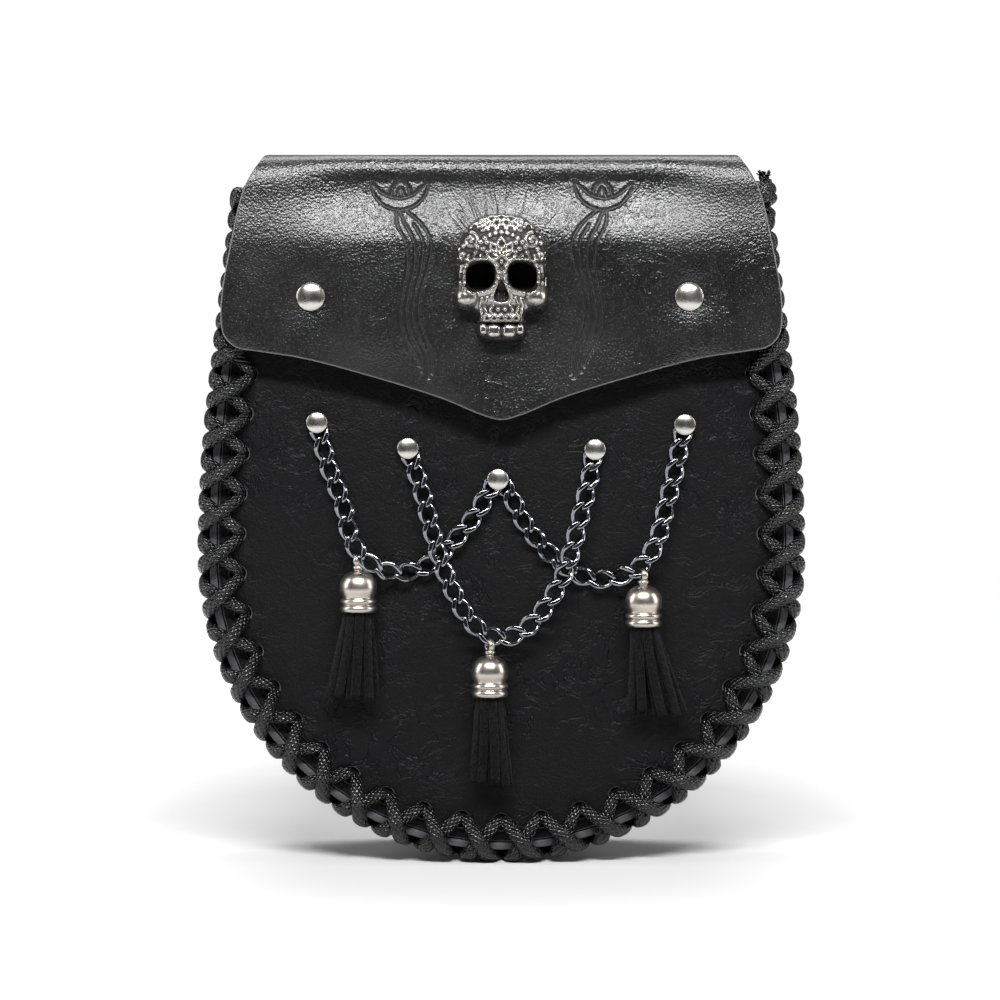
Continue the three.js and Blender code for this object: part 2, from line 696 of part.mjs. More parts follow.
const onFront = leaningFrame(0);
const onFlap = leaningFrame(FLAP_STANDOFF + LEATHER);
for (const rivet of CHAIN_RIVETS) {
  addMesh(rivet.name, chainRivet(rivet), antiqueSilver, onFront);
}
for (const swag of SWAGS) {
  addChain(swag, onFront);
}
TASSELS.forEach((tassel, index) => {
  const hanging = new THREE.Group();
  hanging.position.set(tassel.x, -tassel.lift, TOP_Z - tassel.below);
  onFront.add(hanging);
  addMesh(`tassel_cap_${index + 1}`, tasselCap(tassel), nickel, hanging);
  addMesh(`tassel_fringe_${index + 1}`, tasselFringe(tassel), suede, hanging);
});
addMesh('skull_emblem', skullEmblem(), antiqueSilver, onFlap);
addMesh('flap_rivet_left', flapRivet(-65.5, 47.8), antiqueSilver, onFlap);
addMesh('flap_rivet_right', flapRivet(64.5, 47.8), antiqueSilver, onFlap);

export default pouch;
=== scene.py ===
"""Dresses the belt pouch: leather, lacing, chains, rivets, tassels, skull emblem and stage."""

import math
from collections import namedtuple

import bmesh
import bpy
import numpy as np
from mathutils import Matrix, Vector
from mathutils.geometry import delaunay_2d_cdt
from mathutils.kdtree import KDTree


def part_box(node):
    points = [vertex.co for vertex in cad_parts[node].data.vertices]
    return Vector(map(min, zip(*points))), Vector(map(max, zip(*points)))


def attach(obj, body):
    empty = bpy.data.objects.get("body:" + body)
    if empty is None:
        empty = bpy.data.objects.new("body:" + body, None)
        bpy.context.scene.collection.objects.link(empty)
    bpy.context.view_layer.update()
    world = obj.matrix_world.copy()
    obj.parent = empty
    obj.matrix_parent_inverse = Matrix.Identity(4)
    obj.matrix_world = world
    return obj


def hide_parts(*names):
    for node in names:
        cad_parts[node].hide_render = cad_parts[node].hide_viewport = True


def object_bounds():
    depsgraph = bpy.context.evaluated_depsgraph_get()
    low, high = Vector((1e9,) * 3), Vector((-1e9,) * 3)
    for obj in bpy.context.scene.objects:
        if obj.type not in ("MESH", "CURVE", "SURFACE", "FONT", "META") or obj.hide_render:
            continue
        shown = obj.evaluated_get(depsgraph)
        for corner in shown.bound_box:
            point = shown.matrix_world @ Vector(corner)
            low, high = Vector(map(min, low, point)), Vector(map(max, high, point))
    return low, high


bl_info = {
    "name": "Laced Belt Pouch",
    "version": (1, 0, 0),
    "blender": (4, 5, 0),
    "location": "View3D > Sidebar > Pouch",
    "description": "Builds the leather, lacing, metal fittings and stage of a belt pouch",
    "category": "Object",
}

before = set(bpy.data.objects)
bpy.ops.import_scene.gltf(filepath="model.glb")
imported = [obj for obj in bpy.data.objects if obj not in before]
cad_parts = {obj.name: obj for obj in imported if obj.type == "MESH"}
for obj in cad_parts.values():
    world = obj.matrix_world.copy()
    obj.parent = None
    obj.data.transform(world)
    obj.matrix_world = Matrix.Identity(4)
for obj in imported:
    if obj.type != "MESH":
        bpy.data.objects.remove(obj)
CAD_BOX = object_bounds()

# ------------------------------------------------------------------ sizes, in millimetres
# The frame's own sizes are read from its solids. The rest are the sizes the solids were made to.

MM = 0.001
BODY = "root"


def highest_corner(name):
    """Highest corner of a CAD node, in millimetres."""
    return np.array(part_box(name)[1]) / MM


TOP_Z = highest_corner("back_and_flap")[2]
MOUTH_Z = highest_corner("front_panel")[2]
LEATHER = 2.0
FRONT_LEAN = math.radians(5)
MOUTH_DEPTH = -highest_corner("front_panel")[1] + LEATHER
BODY_RADIUS = 101.0
CENTRE_Z = TOP_Z - 138.0
SIDE_RADIUS = 480.0
SIDE_ARC_RISE = 58.0
GUSSET_THICKNESS = 2.6
SEAM_GAP = 0.3
HOLE_INSET = 9.5
HOLE_DEPTH = 7.5
HOLE_PITCH = 13.8
HOLES_EACH_SIDE = 19
FLAP_STANDOFF = 7.2
FOLD_RADIUS = 11.0

HOLE_LINE_RADIUS = BODY_RADIUS - HOLE_INSET
SIDE_LINE_RADIUS = SIDE_RADIUS - HOLE_INSET
SIDE_ANGLE = math.asin(SIDE_ARC_RISE / SIDE_RADIUS)
BOTTOM_RUN = HOLE_LINE_RADIUS * math.pi / 2
SIDE_ARC_RUN = SIDE_LINE_RADIUS * SIDE_ANGLE
MOUTH_STATION = BOTTOM_RUN + SIDE_ARC_RUN + (
    MOUTH_Z - CENTRE_Z - SIDE_LINE_RADIUS * math.sin(SIDE_ANGLE)
) / math.cos(SIDE_ANGLE)
HOLE_STATIONS = HOLE_PITCH * np.arange(-HOLES_EACH_SIDE, HOLES_EACH_SIDE + 1)


def linear(hex_colour):
    """An sRGB hex colour as linear red, green, blue and alpha."""
    channels = [int(hex_colour[at:at + 2], 16) / 255 for at in (1, 3, 5)]
    return tuple(
        value / 12.92 if value <= 0.04045 else ((value + 0.055) / 1.055) ** 2.4
        for value in channels
    ) + (1.0,)


def colour_property(name, description, hex_colour):
    return bpy.props.FloatVectorProperty(
        name=name, description=description, subtype="COLOR", size=4, min=0, max=1,
        default=linear(hex_colour),
    )


def length_property(name, description, millimetres):
    return bpy.props.FloatProperty(
        name=name, description=description, default=millimetres * MM, unit="LENGTH", min=0,
    )


class PouchSizes(bpy.types.PropertyGroup):
    """Sizes that a maker would change without touching the construction."""

    hole_diameter: length_property("Hole", "Diameter of a punched lacing hole", 5.8)
    cord_width: length_property("Cord width", "Width of the lacing cord, lying flat", 4.9)
    cord_thickness: length_property("Cord thickness", "Thickness of the lacing cord", 3.4)
    link_wire: length_property("Link wire", "Wire diameter of the chain links", 1.75)
    link_width: length_property("Link width", "Width across a chain link", 7.2)
    strip_width: length_property("Strip width", "Width of a strip of the tassels", 3.0)
    tooling_depth: length_property("Tooling depth", "Depth of the lines stamped in the flap", 0.7)


class PouchColours(bpy.types.PropertyGroup):
    """Colours of the pouch's finishes and of the stage."""

    leather: colour_property("Leather", "Black faux leather of the body", "#08080a")
    flap: colour_property("Flap", "Black faux leather of the flap", "#0c0c0d")
    # Cut edge: the real paler edge of the leathercloth, made lighter still as a painted highlight
    # along the rounded rims.
    cut_edge: colour_property("Cut edge", "Bare edge of the faux leather", "#6c6c70")
    cord: colour_property("Cord", "Waxed lacing cord", "#060607")
    silver: colour_property("Antique silver", "Emblem and rivets", "#b0ada8")
    nickel: colour_property("Nickel", "Caps of the tassels", "#aea79e")
    gunmetal: colour_property("Gunmetal", "Chain plating", "#797b80")
    suede: colour_property("Suede", "Strips of the tassels", "#0b0b0c")
    floor: colour_property("Floor", "Floor of the stage", "#bebebe")


def sizes(name):
    """One of the user's sizes, in millimetres."""
    return getattr(bpy.context.scene.pouch_sizes, name) / MM


def colour(name, factor=1.0):
    """One of the user's colours, made lighter or darker by a factor."""
    return shaded(getattr(bpy.context.scene.pouch_colours, name), factor)


def shaded(value, factor):
    return tuple(channel * factor for channel in tuple(value)[:3]) + (1.0,)


# ------------------------------------------------------------------ pieces


def add_piece(name, part, material, replaced=()):
    """Adds a (vertices, faces) part, in millimetres, that rides on the pouch and stands for CAD
    nodes."""
    vertices, faces = part
    mesh = bpy.data.meshes.new(name)
    mesh.from_pydata([tuple(corner * MM) for corner in np.asarray(vertices, float)], [], faces)
    mesh.validate()
    shell = bmesh.new()
    shell.from_mesh(mesh)
    bmesh.ops.recalc_face_normals(shell, faces=shell.faces)
    shell.to_mesh(mesh)
    shell.free()
    mesh.polygons.foreach_set("use_smooth", [True] * len(mesh.polygons))
    mesh.materials.append(material)
    piece = bpy.data.objects.new(name, mesh)
    bpy.context.scene.collection.objects.link(piece)
    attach(piece, BODY)
    if replaced:
        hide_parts(*replaced)
    return piece


def add_attribute(piece, name, values):
    """Stores one number a vertex, for the material to read."""
    attribute = piece.data.attributes.new(name, "FLOAT", "POINT")
    attribute.data.foreach_set("value", np.asarray(values, np.float32))


def join_parts(parts):
    """Joins (vertices, faces) pairs into one pair."""
    faces = []
    start = 0
    for part_vertices, part_faces in parts:
        faces += [tuple(start + corner for corner in face) for face in part_faces]
        start += len(part_vertices)
    return np.concatenate([part[0] for part in parts]), faces


def ring_faces(rings, sides, closed=False):
    """Quads between the rings of a tube, and a cap on each end of an open one."""
    faces = []
    for ring in range(rings if closed else rings - 1):
        low, high = ring * sides, (ring + 1) % rings * sides
        for side in range(sides):
            beside = (side + 1) % sides
            faces.append((low + side, low + beside, high + beside, high + side))
    if not closed:
        faces.append(tuple(range(sides))[::-1])
        faces.append(tuple((rings - 1) * sides + side for side in range(sides)))
    return faces


def swept(centres, across, upward, section, closed=False):
    """A closed section carried along `centres`, where `across` and `upward` hold its axes."""
    wide, tall = np.asarray(section, float).T
    vertices = (
        centres[:, None]
        + across[:, None] * wide[None, :, None]
        + upward[:, None] * tall[None, :, None]
    ).reshape(-1, 3)
    return vertices, ring_faces(len(centres), len(wide), closed)


def even_angles(count):
    """Evenly spaced angles round a circle."""
    return 2 * np.pi * np.arange(count) / count


def tube(centres, across, upward, closed=False):
    """A tube with an oval section: `across` and `upward` hold its half axes."""
    angles = even_angles(12)
    section = np.stack([np.cos(angles), np.sin(angles)], 1)
    return swept(centres, across, upward, section, closed)


def turned(profile, segments=48):
    """A turned piece about +Z: `profile` lists radius and height, from the axis to the axis."""
    profile = np.asarray(profile, float)
    inner, angles = profile[1:-1], even_angles(segments)
    vertices = [(0, 0, profile[0][1])]
    for radius, height in inner:
        vertices += [(radius * math.cos(a), radius * math.sin(a), height) for a in angles]
    vertices.append((0, 0, profile[-1][1]))
    faces = []
    for side in range(segments):
        beside = (side + 1) % segments
        faces.append((0, 1 + beside, 1 + side))
        for low in range(1, 1 + (len(inner) - 1) * segments, segments):
            high = low + segments
            faces.append((low + side, low + beside, high + beside, high + side))
        low = 1 + (len(inner) - 1) * segments
        faces.append((low + side, low + beside, len(vertices) - 1))
    return np.array(vertices, float), faces


def arc(centre, radius, start, stop, steps):
    """Points on an arc in the profile plane; angles in degrees."""
    angles = np.radians(np.linspace(start, stop, steps + 1))
    return [(centre[0] + radius * math.cos(a), centre[1] + radius * math.sin(a)) for a in angles]


def circle(centre, radius, count=20):
    angles = even_angles(count)
    return np.stack([centre[0] + radius * np.cos(angles), centre[1] + radius * np.sin(angles)], 1)


def moved(part, matrix):
    vertices, faces = part
    matrix = np.array(matrix)
    return vertices @ matrix[:3, :3].T + matrix[:3, 3], faces


def catmull_rom(points, steps):
    """A centripetal Catmull-Rom curve through the points, `steps` samples a stretch."""
    points = np.asarray(points, float)
    padded = np.vstack([2 * points[0] - points[1], points, 2 * points[-1] - points[-2]])
    samples = []
    for first in range(len(points) - 1):
        corners = padded[first:first + 4]
        knots = np.cumsum([0] + [
            max(np.linalg.norm(b - a), 1e-6) ** 0.5 for a, b in zip(corners, corners[1:])
        ])
        for t in np.linspace(knots[1], knots[2], steps, endpoint=False):
            level = corners
            for lows, highs in ((knots, knots[1:]), (knots, knots[2:]), (knots[1:2], knots[2:3])):
                level = [
                    (high - t) / (high - low) * a + (t - low) / (high - low) * b
                    for a, b, low, high in zip(level, level[1:], lows, highs)
                ]
            samples.append(level[0])
    samples.append(points[-1])
    return np.array(samples)


def resample(points, spacing, values=None):
    """Points at even spacing along a polyline, their values, and distances along it."""
    steps = np.linalg.norm(np.diff(points, axis=0), axis=1)
    run = np.concatenate([[0], np.cumsum(steps)])
    even = np.linspace(0, run[-1], int(run[-1] / spacing) + 2)

    def spaced(columns):
        return np.stack([np.interp(even, run, column) for column in np.asarray(columns).T], 1)

    return spaced(points), None if values is None else spaced(values), even


def smooth_line(points, step=0.3):
    """A flat curve through the points, sampled finely."""
    line = catmull_rom([(x, y, 0) for x, y in points], 24)
    return resample(line, step)[0][:, :2]


def unit(vectors):
    return vectors / np.maximum(np.linalg.norm(vectors, axis=-1, keepdims=True), 1e-9)


def ridge(distance, width):
    """1 on a line, falling off to both sides."""
    return np.exp(-(distance / width) ** 2)


def bump_shape(distance, width):
    """1 at distance 0, falling smoothly to 0 near `width`."""
    return ridge(distance, 0.55 * width)


def ease(share):
    """A share of 0 to 1 with a soft start and end."""
    return (3 - 2 * share) * share ** 2


def point_tree(points):
    """A search tree of flat points."""
    tree = KDTree(len(points))
    for index, (x, y) in enumerate(points):
        tree.insert((x, y, 0), index)
    tree.balance()
    return tree


def nearest_distance(points, targets):
    tree = point_tree(targets)
    return np.array([tree.find((x, y, 0))[2] for x, y in points])


# ------------------------------------------------------------------ the pouch's edge line


def front_y(z):
    """Front face of the front panel at height z."""
    return -(MOUTH_DEPTH + (MOUTH_Z - z) * math.tan(FRONT_LEAN))


def edge_frame(station):
    """Points (x, z) and outward directions on the line of the lacing holes."""
    station = np.asarray(station, float)
    side = np.where(station < 0, -1.0, 1.0)
    run = np.abs(station)
    round_angle = np.minimum(run, BOTTOM_RUN) / HOLE_LINE_RADIUS
    side_angle = np.clip((run - BOTTOM_RUN) / SIDE_LINE_RADIUS, 0, SIDE_ANGLE)
    straight = np.maximum(run - BOTTOM_RUN - SIDE_ARC_RUN, 0)
    low = run <= BOTTOM_RUN
    out_x = np.where(low, np.sin(round_angle), np.cos(side_angle))
    out_z = np.where(low, -np.cos(round_angle), np.sin(side_angle))
    x = np.where(
        low, HOLE_LINE_RADIUS * out_x,
        SIDE_LINE_RADIUS * out_x + BODY_RADIUS - SIDE_RADIUS - straight * math.sin(SIDE_ANGLE),
    )
    z = CENTRE_Z + np.where(
        low, HOLE_LINE_RADIUS * out_z, SIDE_LINE_RADIUS * out_z + straight * math.cos(SIDE_ANGLE),
    )
    return np.stack([side * x, z], -1), np.stack([side * out_x, out_z], -1)


def edge_point(station, out, lift):
    """A point near the laced edge: `out` beyond the hole line, `lift` before the front face."""
    point, outward = edge_frame(station)
    x, z = (point + outward * np.asarray(out)[..., None]).T
    return np.stack([x, front_y(z) - lift, z], -1)


def on_face(x, below, lift, standoff=0.0):
    """World place of a point over the leaning front, `below` the top along the leather."""
    z = TOP_Z - below
    sine, cosine = math.sin(FRONT_LEAN), math.cos(FRONT_LEAN)
    return Vector((
        x, front_y(0) - standoff - lift * cosine + z * sine, lift * sine + z * cosine,
    ))


FACE_TURN = Matrix.Rotation(-FRONT_LEAN, 4, "X")


# ------------------------------------------------------------------ materials


def set_input(tree, socket, value):
    """Links a socket to another, or gives it a constant."""
    if isinstance(value, bpy.types.NodeSocket):
        tree.links.new(value, socket)
    else:
        socket.default_value = value


def add_node(tree, kind, inputs=None, **settings):
    """Adds a node, sets its properties, and sets or links its inputs."""
    made = tree.nodes.new(kind)
    for name, value in settings.items():
        setattr(made, name, value)
    for name, value in (inputs or {}).items():
        set_input(tree, made.inputs[name], value)
    return made


class Nodes:
    """Short calls for the nodes of one tree."""

    def __init__(self, tree):
        self.tree = tree

    def math(self, operation, first, second=0):
        return add_node(self.tree, "ShaderNodeMath", {0: first, 1: second},
                        operation=operation).outputs[0]

    def times(self, first, second):
        return self.math("MULTIPLY", first, second)

    def plus(self, first, second):
        return self.math("ADD", first, second)

    def spread(self, value, low, high, to_low=0.0, to_high=1.0):
        """Maps a range of one value onto another, clamped."""
        return add_node(self.tree, "ShaderNodeMapRange", {
            "Value": value, "From Min": low, "From Max": high, "To Min": to_low, "To Max": to_high,
        }).outputs["Result"]

    def contours(self, value, half_width, height):
        """Thin lines where a noise crosses its middle value."""
        from_line = self.math("ABSOLUTE", self.math("SUBTRACT", value, 0.5))
        return self.spread(from_line, 0.0, half_width, height, 0.0)


class Finish(Nodes):
    """A material being made: its shader has constants on its own sockets, and nodes feed it."""

    def __init__(self, name, constants):
        self.material = bpy.data.materials.new(name)
        self.material.use_nodes = True
        super().__init__(self.material.node_tree)
        self.shader = self.tree.nodes["Principled BSDF"]
        for socket, value in constants.items():
            self.shader.inputs[socket].default_value = value
        self.place = add_node(self.tree, "ShaderNodeTexCoord").outputs["Object"]

    def noise(self, width, detail, roughness=0.5, distortion=0.0):
        """Noise whose lumps are about `width` millimetres across."""
        return add_node(self.tree, "ShaderNodeTexNoise", {
            "Vector": self.place, "Scale": 1 / (width * MM), "Detail": detail,
            "Roughness": roughness, "Distortion": distortion,
        }).outputs["Fac"]

    def attribute(self, name):
        return add_node(self.tree, "ShaderNodeAttribute", attribute_name=name).outputs["Fac"]

    def mix(self, factor, first, second):
        """One colour over another."""
        made = add_node(self.tree, "ShaderNodeMix", {"Factor": factor}, data_type="RGBA")
        set_input(self.tree, made.inputs[6], first)
        set_input(self.tree, made.inputs[7], second)
        return made.outputs[2]

    def drive(self, socket, value):
        self.tree.links.new(value, self.shader.inputs[socket])

    def bump(self, height, strength=1.0, distance=1.0):
        """Bump from a height, of which 1 is `distance` millimetres."""
        made = add_node(self.tree, "ShaderNodeBump", {
            "Height": height, "Strength": strength, "Distance": distance * MM,
        })
        self.drive("Normal", made.outputs[0])


def drawn_creases(finish, middle_z):
    """Hair creases that fan out over an emblem which holds the hide down; `middle_z` is the
    height of its middle in millimetres."""
    from_middle = add_node(finish.tree, "ShaderNodeVectorMath",
                           {0: finish.place, 1: (0, 0, middle_z * MM)}, operation="SUBTRACT")
    axes = add_node(finish.tree, "ShaderNodeSeparateXYZ", {0: from_middle.outputs[0]}).outputs
    angle = finish.math("ARCTAN2", axes["Z"], axes["X"])
    squares = [finish.math("POWER", axes[axis], 2) for axis in ("Z", "X")]
    reach = finish.math("POWER", finish.plus(*squares), 0.5)
    creases_per_radian, crease_length = 9.0, 16.0
    polar = add_node(finish.tree, "ShaderNodeCombineXYZ", {
        "X": finish.times(angle, creases_per_radian),
        "Y": finish.times(reach, 1 / (crease_length * MM)),
    }).outputs[0]
    swell = add_node(finish.tree, "ShaderNodeTexNoise", {
        "Vector": polar, "Scale": 1.0, "Detail": 2.0, "Roughness": 0.5, "Distortion": 0.3,
    }).outputs["Fac"]
    fan = finish.contours(swell, half_width=0.04, height=2.2)
    over = finish.spread(axes["Z"], 8 * MM, 18 * MM)
    fading = finish.spread(reach, 22 * MM, 34 * MM, 1.0, 0.0)
    return finish.times(fan, finish.times(over, fading))


def faux_leather(name, face_colour, gloss, shine, creasing, emblem_z=None):
    """Polyurethane-coated leathercloth: a thin film pressed to a pebbled grain on a soft cloth
    back. It shows fine broken highlights, nets of hair creases where it has been bent, and
    patches rubbed smoother and a little lighter. Its colour also holds painted shade in the
    grain's hollows and the stamped grooves, and painted highlights along the creases and rims."""
    finish = Finish(name, {"IOR": 1.5, "Specular IOR Level": shine})
    # Grain this coarse is as fine as a picture of the whole pouch can show.
    grain_width, crease_spacing, patch_width = 0.78, 5.0, 30.0
    grain = add_node(finish.tree, "ShaderNodeTexVoronoi", {
        "Vector": finish.place, "Scale": 1 / (grain_width * MM), "Randomness": 1.0,
        "Smoothness": 0.4,
    }, feature="SMOOTH_F1").outputs["Distance"]
    fine_grain = finish.noise(0.8 * grain_width, detail=2.0, roughness=0.6)
    waves = finish.noise(2.2 * crease_spacing, detail=4.0, roughness=0.62, distortion=0.6)
    creases = finish.contours(waves, half_width=0.035, height=1.0)
    patches = finish.noise(patch_width, detail=4.0, roughness=0.6)
    bent = finish.times(creases, finish.spread(patches, 0.44, 0.62, 0.1, 0.7))
    if emblem_z is not None:
        bent = finish.math("MAXIMUM", bent, drawn_creases(finish, emblem_z))
    tooling, edge = finish.attribute("tooling"), finish.attribute("cut_edge")
    tone = face_colour
    for factor, over in (
        (finish.spread(patches, 0.42, 0.72), shaded(face_colour, 1.6)),
        # Darker in the hollows between the grain's pebbles: painted shade.
        (finish.spread(grain, 0.05, 0.5, 0.0, 0.55), shaded(face_colour, 0.45)),
        # Lighter along the creases: partly real whitening of the bent coat, partly a painted
        # highlight on the creases.
        (finish.times(bent, 0.25), shaded(face_colour, 5.0)),
        # Black in the stamped grooves: painted shade.
        (tooling, shaded(face_colour, 0.0)),
        # Lighter on the rims: partly the real paler cut edge, partly a painted highlight on the
        # rounded rim.
        (edge, colour("cut_edge")),
    ):
        tone = finish.mix(factor, tone, over)
    finish.drive("Base Color", tone)
    roughness = finish.spread(patches, 0.3, 0.7, gloss + 0.09, gloss - 0.07)
    roughness = finish.plus(roughness, finish.times(edge, 0.2))
    finish.drive("Roughness", finish.plus(roughness, finish.times(tooling, 0.3)))
    height = finish.plus(finish.times(grain, -0.13), finish.times(fine_grain, 0.1))
    height = finish.plus(height, finish.times(bent, -creasing))
    finish.bump(finish.plus(height, finish.times(patches, 0.5)))
    return finish.material


def waxed_cord():
    """Braided cotton cord drawn through wax: a plait of small rounded stitches, painted darker
    between them as shade, whose crowns catch a broken waxy gleam."""
    finish = Finish("waxed_braided_cotton", {"IOR": 1.45, "Specular IOR Level": 0.5})
    stitch_length, stitches_around = 2.5, 7
    waves = [
        finish.math("COSINE", finish.times(finish.attribute(name), 2 * math.pi * per_unit))
        for name, per_unit in (("along", 1 / stitch_length), ("around", stitches_around))
    ]
    apart = finish.math("ABSOLUTE", finish.math("SUBTRACT", *waves))
    crown = finish.math("POWER", finish.times(apart, 0.5), 0.45)
    fibres = finish.noise(width=0.5, detail=3.0)
    # Dark between the stitches, light on their crowns: painted shade in the plait's grooves.
    finish.drive("Base Color", finish.mix(crown, colour("cord", 0.1), colour("cord")))
    finish.drive("Roughness", finish.spread(fibres, 0.35, 0.65, 0.1, 0.3))
    finish.bump(finish.plus(finish.times(crown, 0.44), finish.times(fibres, 0.13)))
    return finish.material


def antique_silver():
    """Cast zinc alloy, silver plated, blackened and rubbed back: bright crowns over dark hollows,
    with the small dents of the casting. Round and below the emblem's teeth the dark is painted
    shade."""
    finish = Finish("antiqued_silver_plate", {"Metallic": 1.0})
    hollow = finish.attribute("hollow")
    mottle = finish.noise(width=1.6, detail=4.0)
    tone = finish.mix(finish.spread(mottle, 0.4, 0.7, 0.0, 0.6), colour("silver"),
                      colour("silver", 0.4))
    finish.drive("Base Color", finish.mix(hollow, tone, colour("silver", 0.012)))
    finish.drive("Roughness", finish.plus(finish.spread(mottle, 0.3, 0.7, 0.16, 0.3),
                                          finish.times(hollow, 0.4)))
    finish.bump(mottle, strength=0.4, distance=0.4)
    return finish.material


def polished_plate(name, tint, roughness):
    """Polished electroplate on steel or brass: a clear mirror with faint waves from polishing."""
    finish = Finish(name, {"Metallic": 1.0, "Base Color": tint})
    waves = finish.noise(width=3.5, detail=2.0)
    finish.drive("Roughness", finish.spread(waves, 0.3, 0.7, roughness, roughness + 0.1))
    finish.bump(waves, strength=0.08, distance=0.4)
    return finish.material


def suede_strip():
    """Black suede split: a short nap with no gloss that goes lighter where it is seen edge on."""
    finish = Finish("black_suede", {
        "Roughness": 0.95, "Specular IOR Level": 0.1, "Sheen Weight": 0.08, "Sheen Roughness": 0.5,
        "Sheen Tint": (0.4, 0.4, 0.42, 1.0),
    })
    nap = finish.noise(width=0.8, detail=3.0, roughness=0.6)
    finish.drive("Base Color", finish.mix(finish.spread(nap, 0.4, 0.66), colour("suede", 0.3),
                                          colour("suede", 2.0)))
    finish.bump(nap, distance=0.8)
    return finish.material


def sewing_thread():
    """Bonded polyester thread: twisted, slightly shiny black yarn."""
    finish = Finish("bonded_polyester_thread", {
        "Base Color": linear("#1a1a1b"), "Roughness": 0.5, "IOR": 1.5,
    })
    twist = add_node(finish.tree, "ShaderNodeTexWave", {
        "Vector": finish.place, "Scale": 1 / (1.2 * MM), "Distortion": 1.0,
    }, bands_direction="DIAGONAL").outputs["Fac"]
    finish.bump(twist, strength=0.5, distance=0.2)
    return finish.material


def opal_floor():
    """Pale opal acrylic with painted light: it glows, not at all under the middle and more
    towards its rim, so that it reads white there while shadows near the pouch still show."""
    finish = Finish("opal_acrylic", {
        "Base Color": colour("floor"), "Roughness": 0.6, "IOR": 1.49, "Specular IOR Level": 0.2,
        "Emission Color": (1.0, 1.0, 1.0, 1.0),
    })
    flat = add_node(finish.tree, "ShaderNodeVectorMath", {0: finish.place, 1: (1, 1, 0)},
                    operation="MULTIPLY").outputs[0]
    out = add_node(finish.tree, "ShaderNodeVectorMath", {0: flat}, operation="LENGTH")
    # Glow rising towards the rim: painted light from the floor itself.
    glow = finish.spread(out.outputs["Value"], 130 * MM, 330 * MM, 0.0, 0.6)
    finish.drive("Emission Strength", glow)
    finish.bump(finish.noise(width=2.5, detail=2.0), strength=0.05, distance=0.2)
    return finish.material


# ------------------------------------------------------------------ leather sheets


def inside(points, polygon):
    """Whether each point is inside the closed polygon."""
    x, y = points[:, 0, None], points[:, 1, None]
    x1, y1 = polygon[:, 0], polygon[:, 1]
    x2, y2 = np.roll(x1, -1), np.roll(y1, -1)
    crosses = (y1 > y) != (y2 > y)
    with np.errstate(divide="ignore", invalid="ignore"):
        at = (x2 - x1) * (y - y1) / (y2 - y1) + x1
    return (np.count_nonzero(crosses & (x < at), axis=1) % 2) == 1


def runs_left(loop):
    """Whether a closed loop runs anticlockwise."""
    x, y = loop.T
    return np.sum(x * np.roll(y, -1) - np.roll(x, -1) * y) > 0


def loop_normals(loop, sign):
    """Directions out of the material along a closed loop; sign -1 for a hole."""
    along = unit(np.roll(loop, -1, 0) - np.roll(loop, 1, 0))
    return np.stack([along[:, 1], -along[:, 0]], 1) * (sign if runs_left(loop) else -sign)


def outside_hole(points, hole, share=1.0):
    """Whether each point is clear of a round hole, or of a share of it."""
    centre = hole.mean(0)
    radius = np.linalg.norm(hole - centre, axis=1).max()
    return np.linalg.norm(points - centre, axis=1) >= radius * share


def lattice(corner, opposite, step):
    """Staggered points that fill a box."""
    columns = np.arange(corner[0], opposite[0] + step, step)
    rows = np.arange(corner[1], opposite[1] + step, step * 0.866)
    x, y = np.meshgrid(columns, rows)
    x[1::2] += step / 2
    return np.stack([x.ravel(), y.ravel()], 1)


def grid_points(outline, holes, spacing, dense=()):
    """Staggered points inside the outline, finer inside the `dense` boxes, clear of all loops."""
    points = lattice(outline.min(0), outline.max(0), spacing)
    steps = np.full(len(points), spacing)
    for corner, opposite, step in dense:
        outside = np.any((points < corner - step / 2) | (points > opposite + step / 2), axis=1)
        fine = lattice(corner, opposite - step, step)
        points = np.vstack([points[outside], fine])
        steps = np.concatenate([steps[outside], np.full(len(fine), step)])
    keep = np.concatenate([inside(part, outline) for part in np.array_split(points, 24)])
    points, steps = points[keep], steps[keep]
    points = points[nearest_distance(points, np.vstack([outline, *holes])) > 0.7 * steps]
    for hole in holes:
        points = points[outside_hole(points, hole)]
    return points


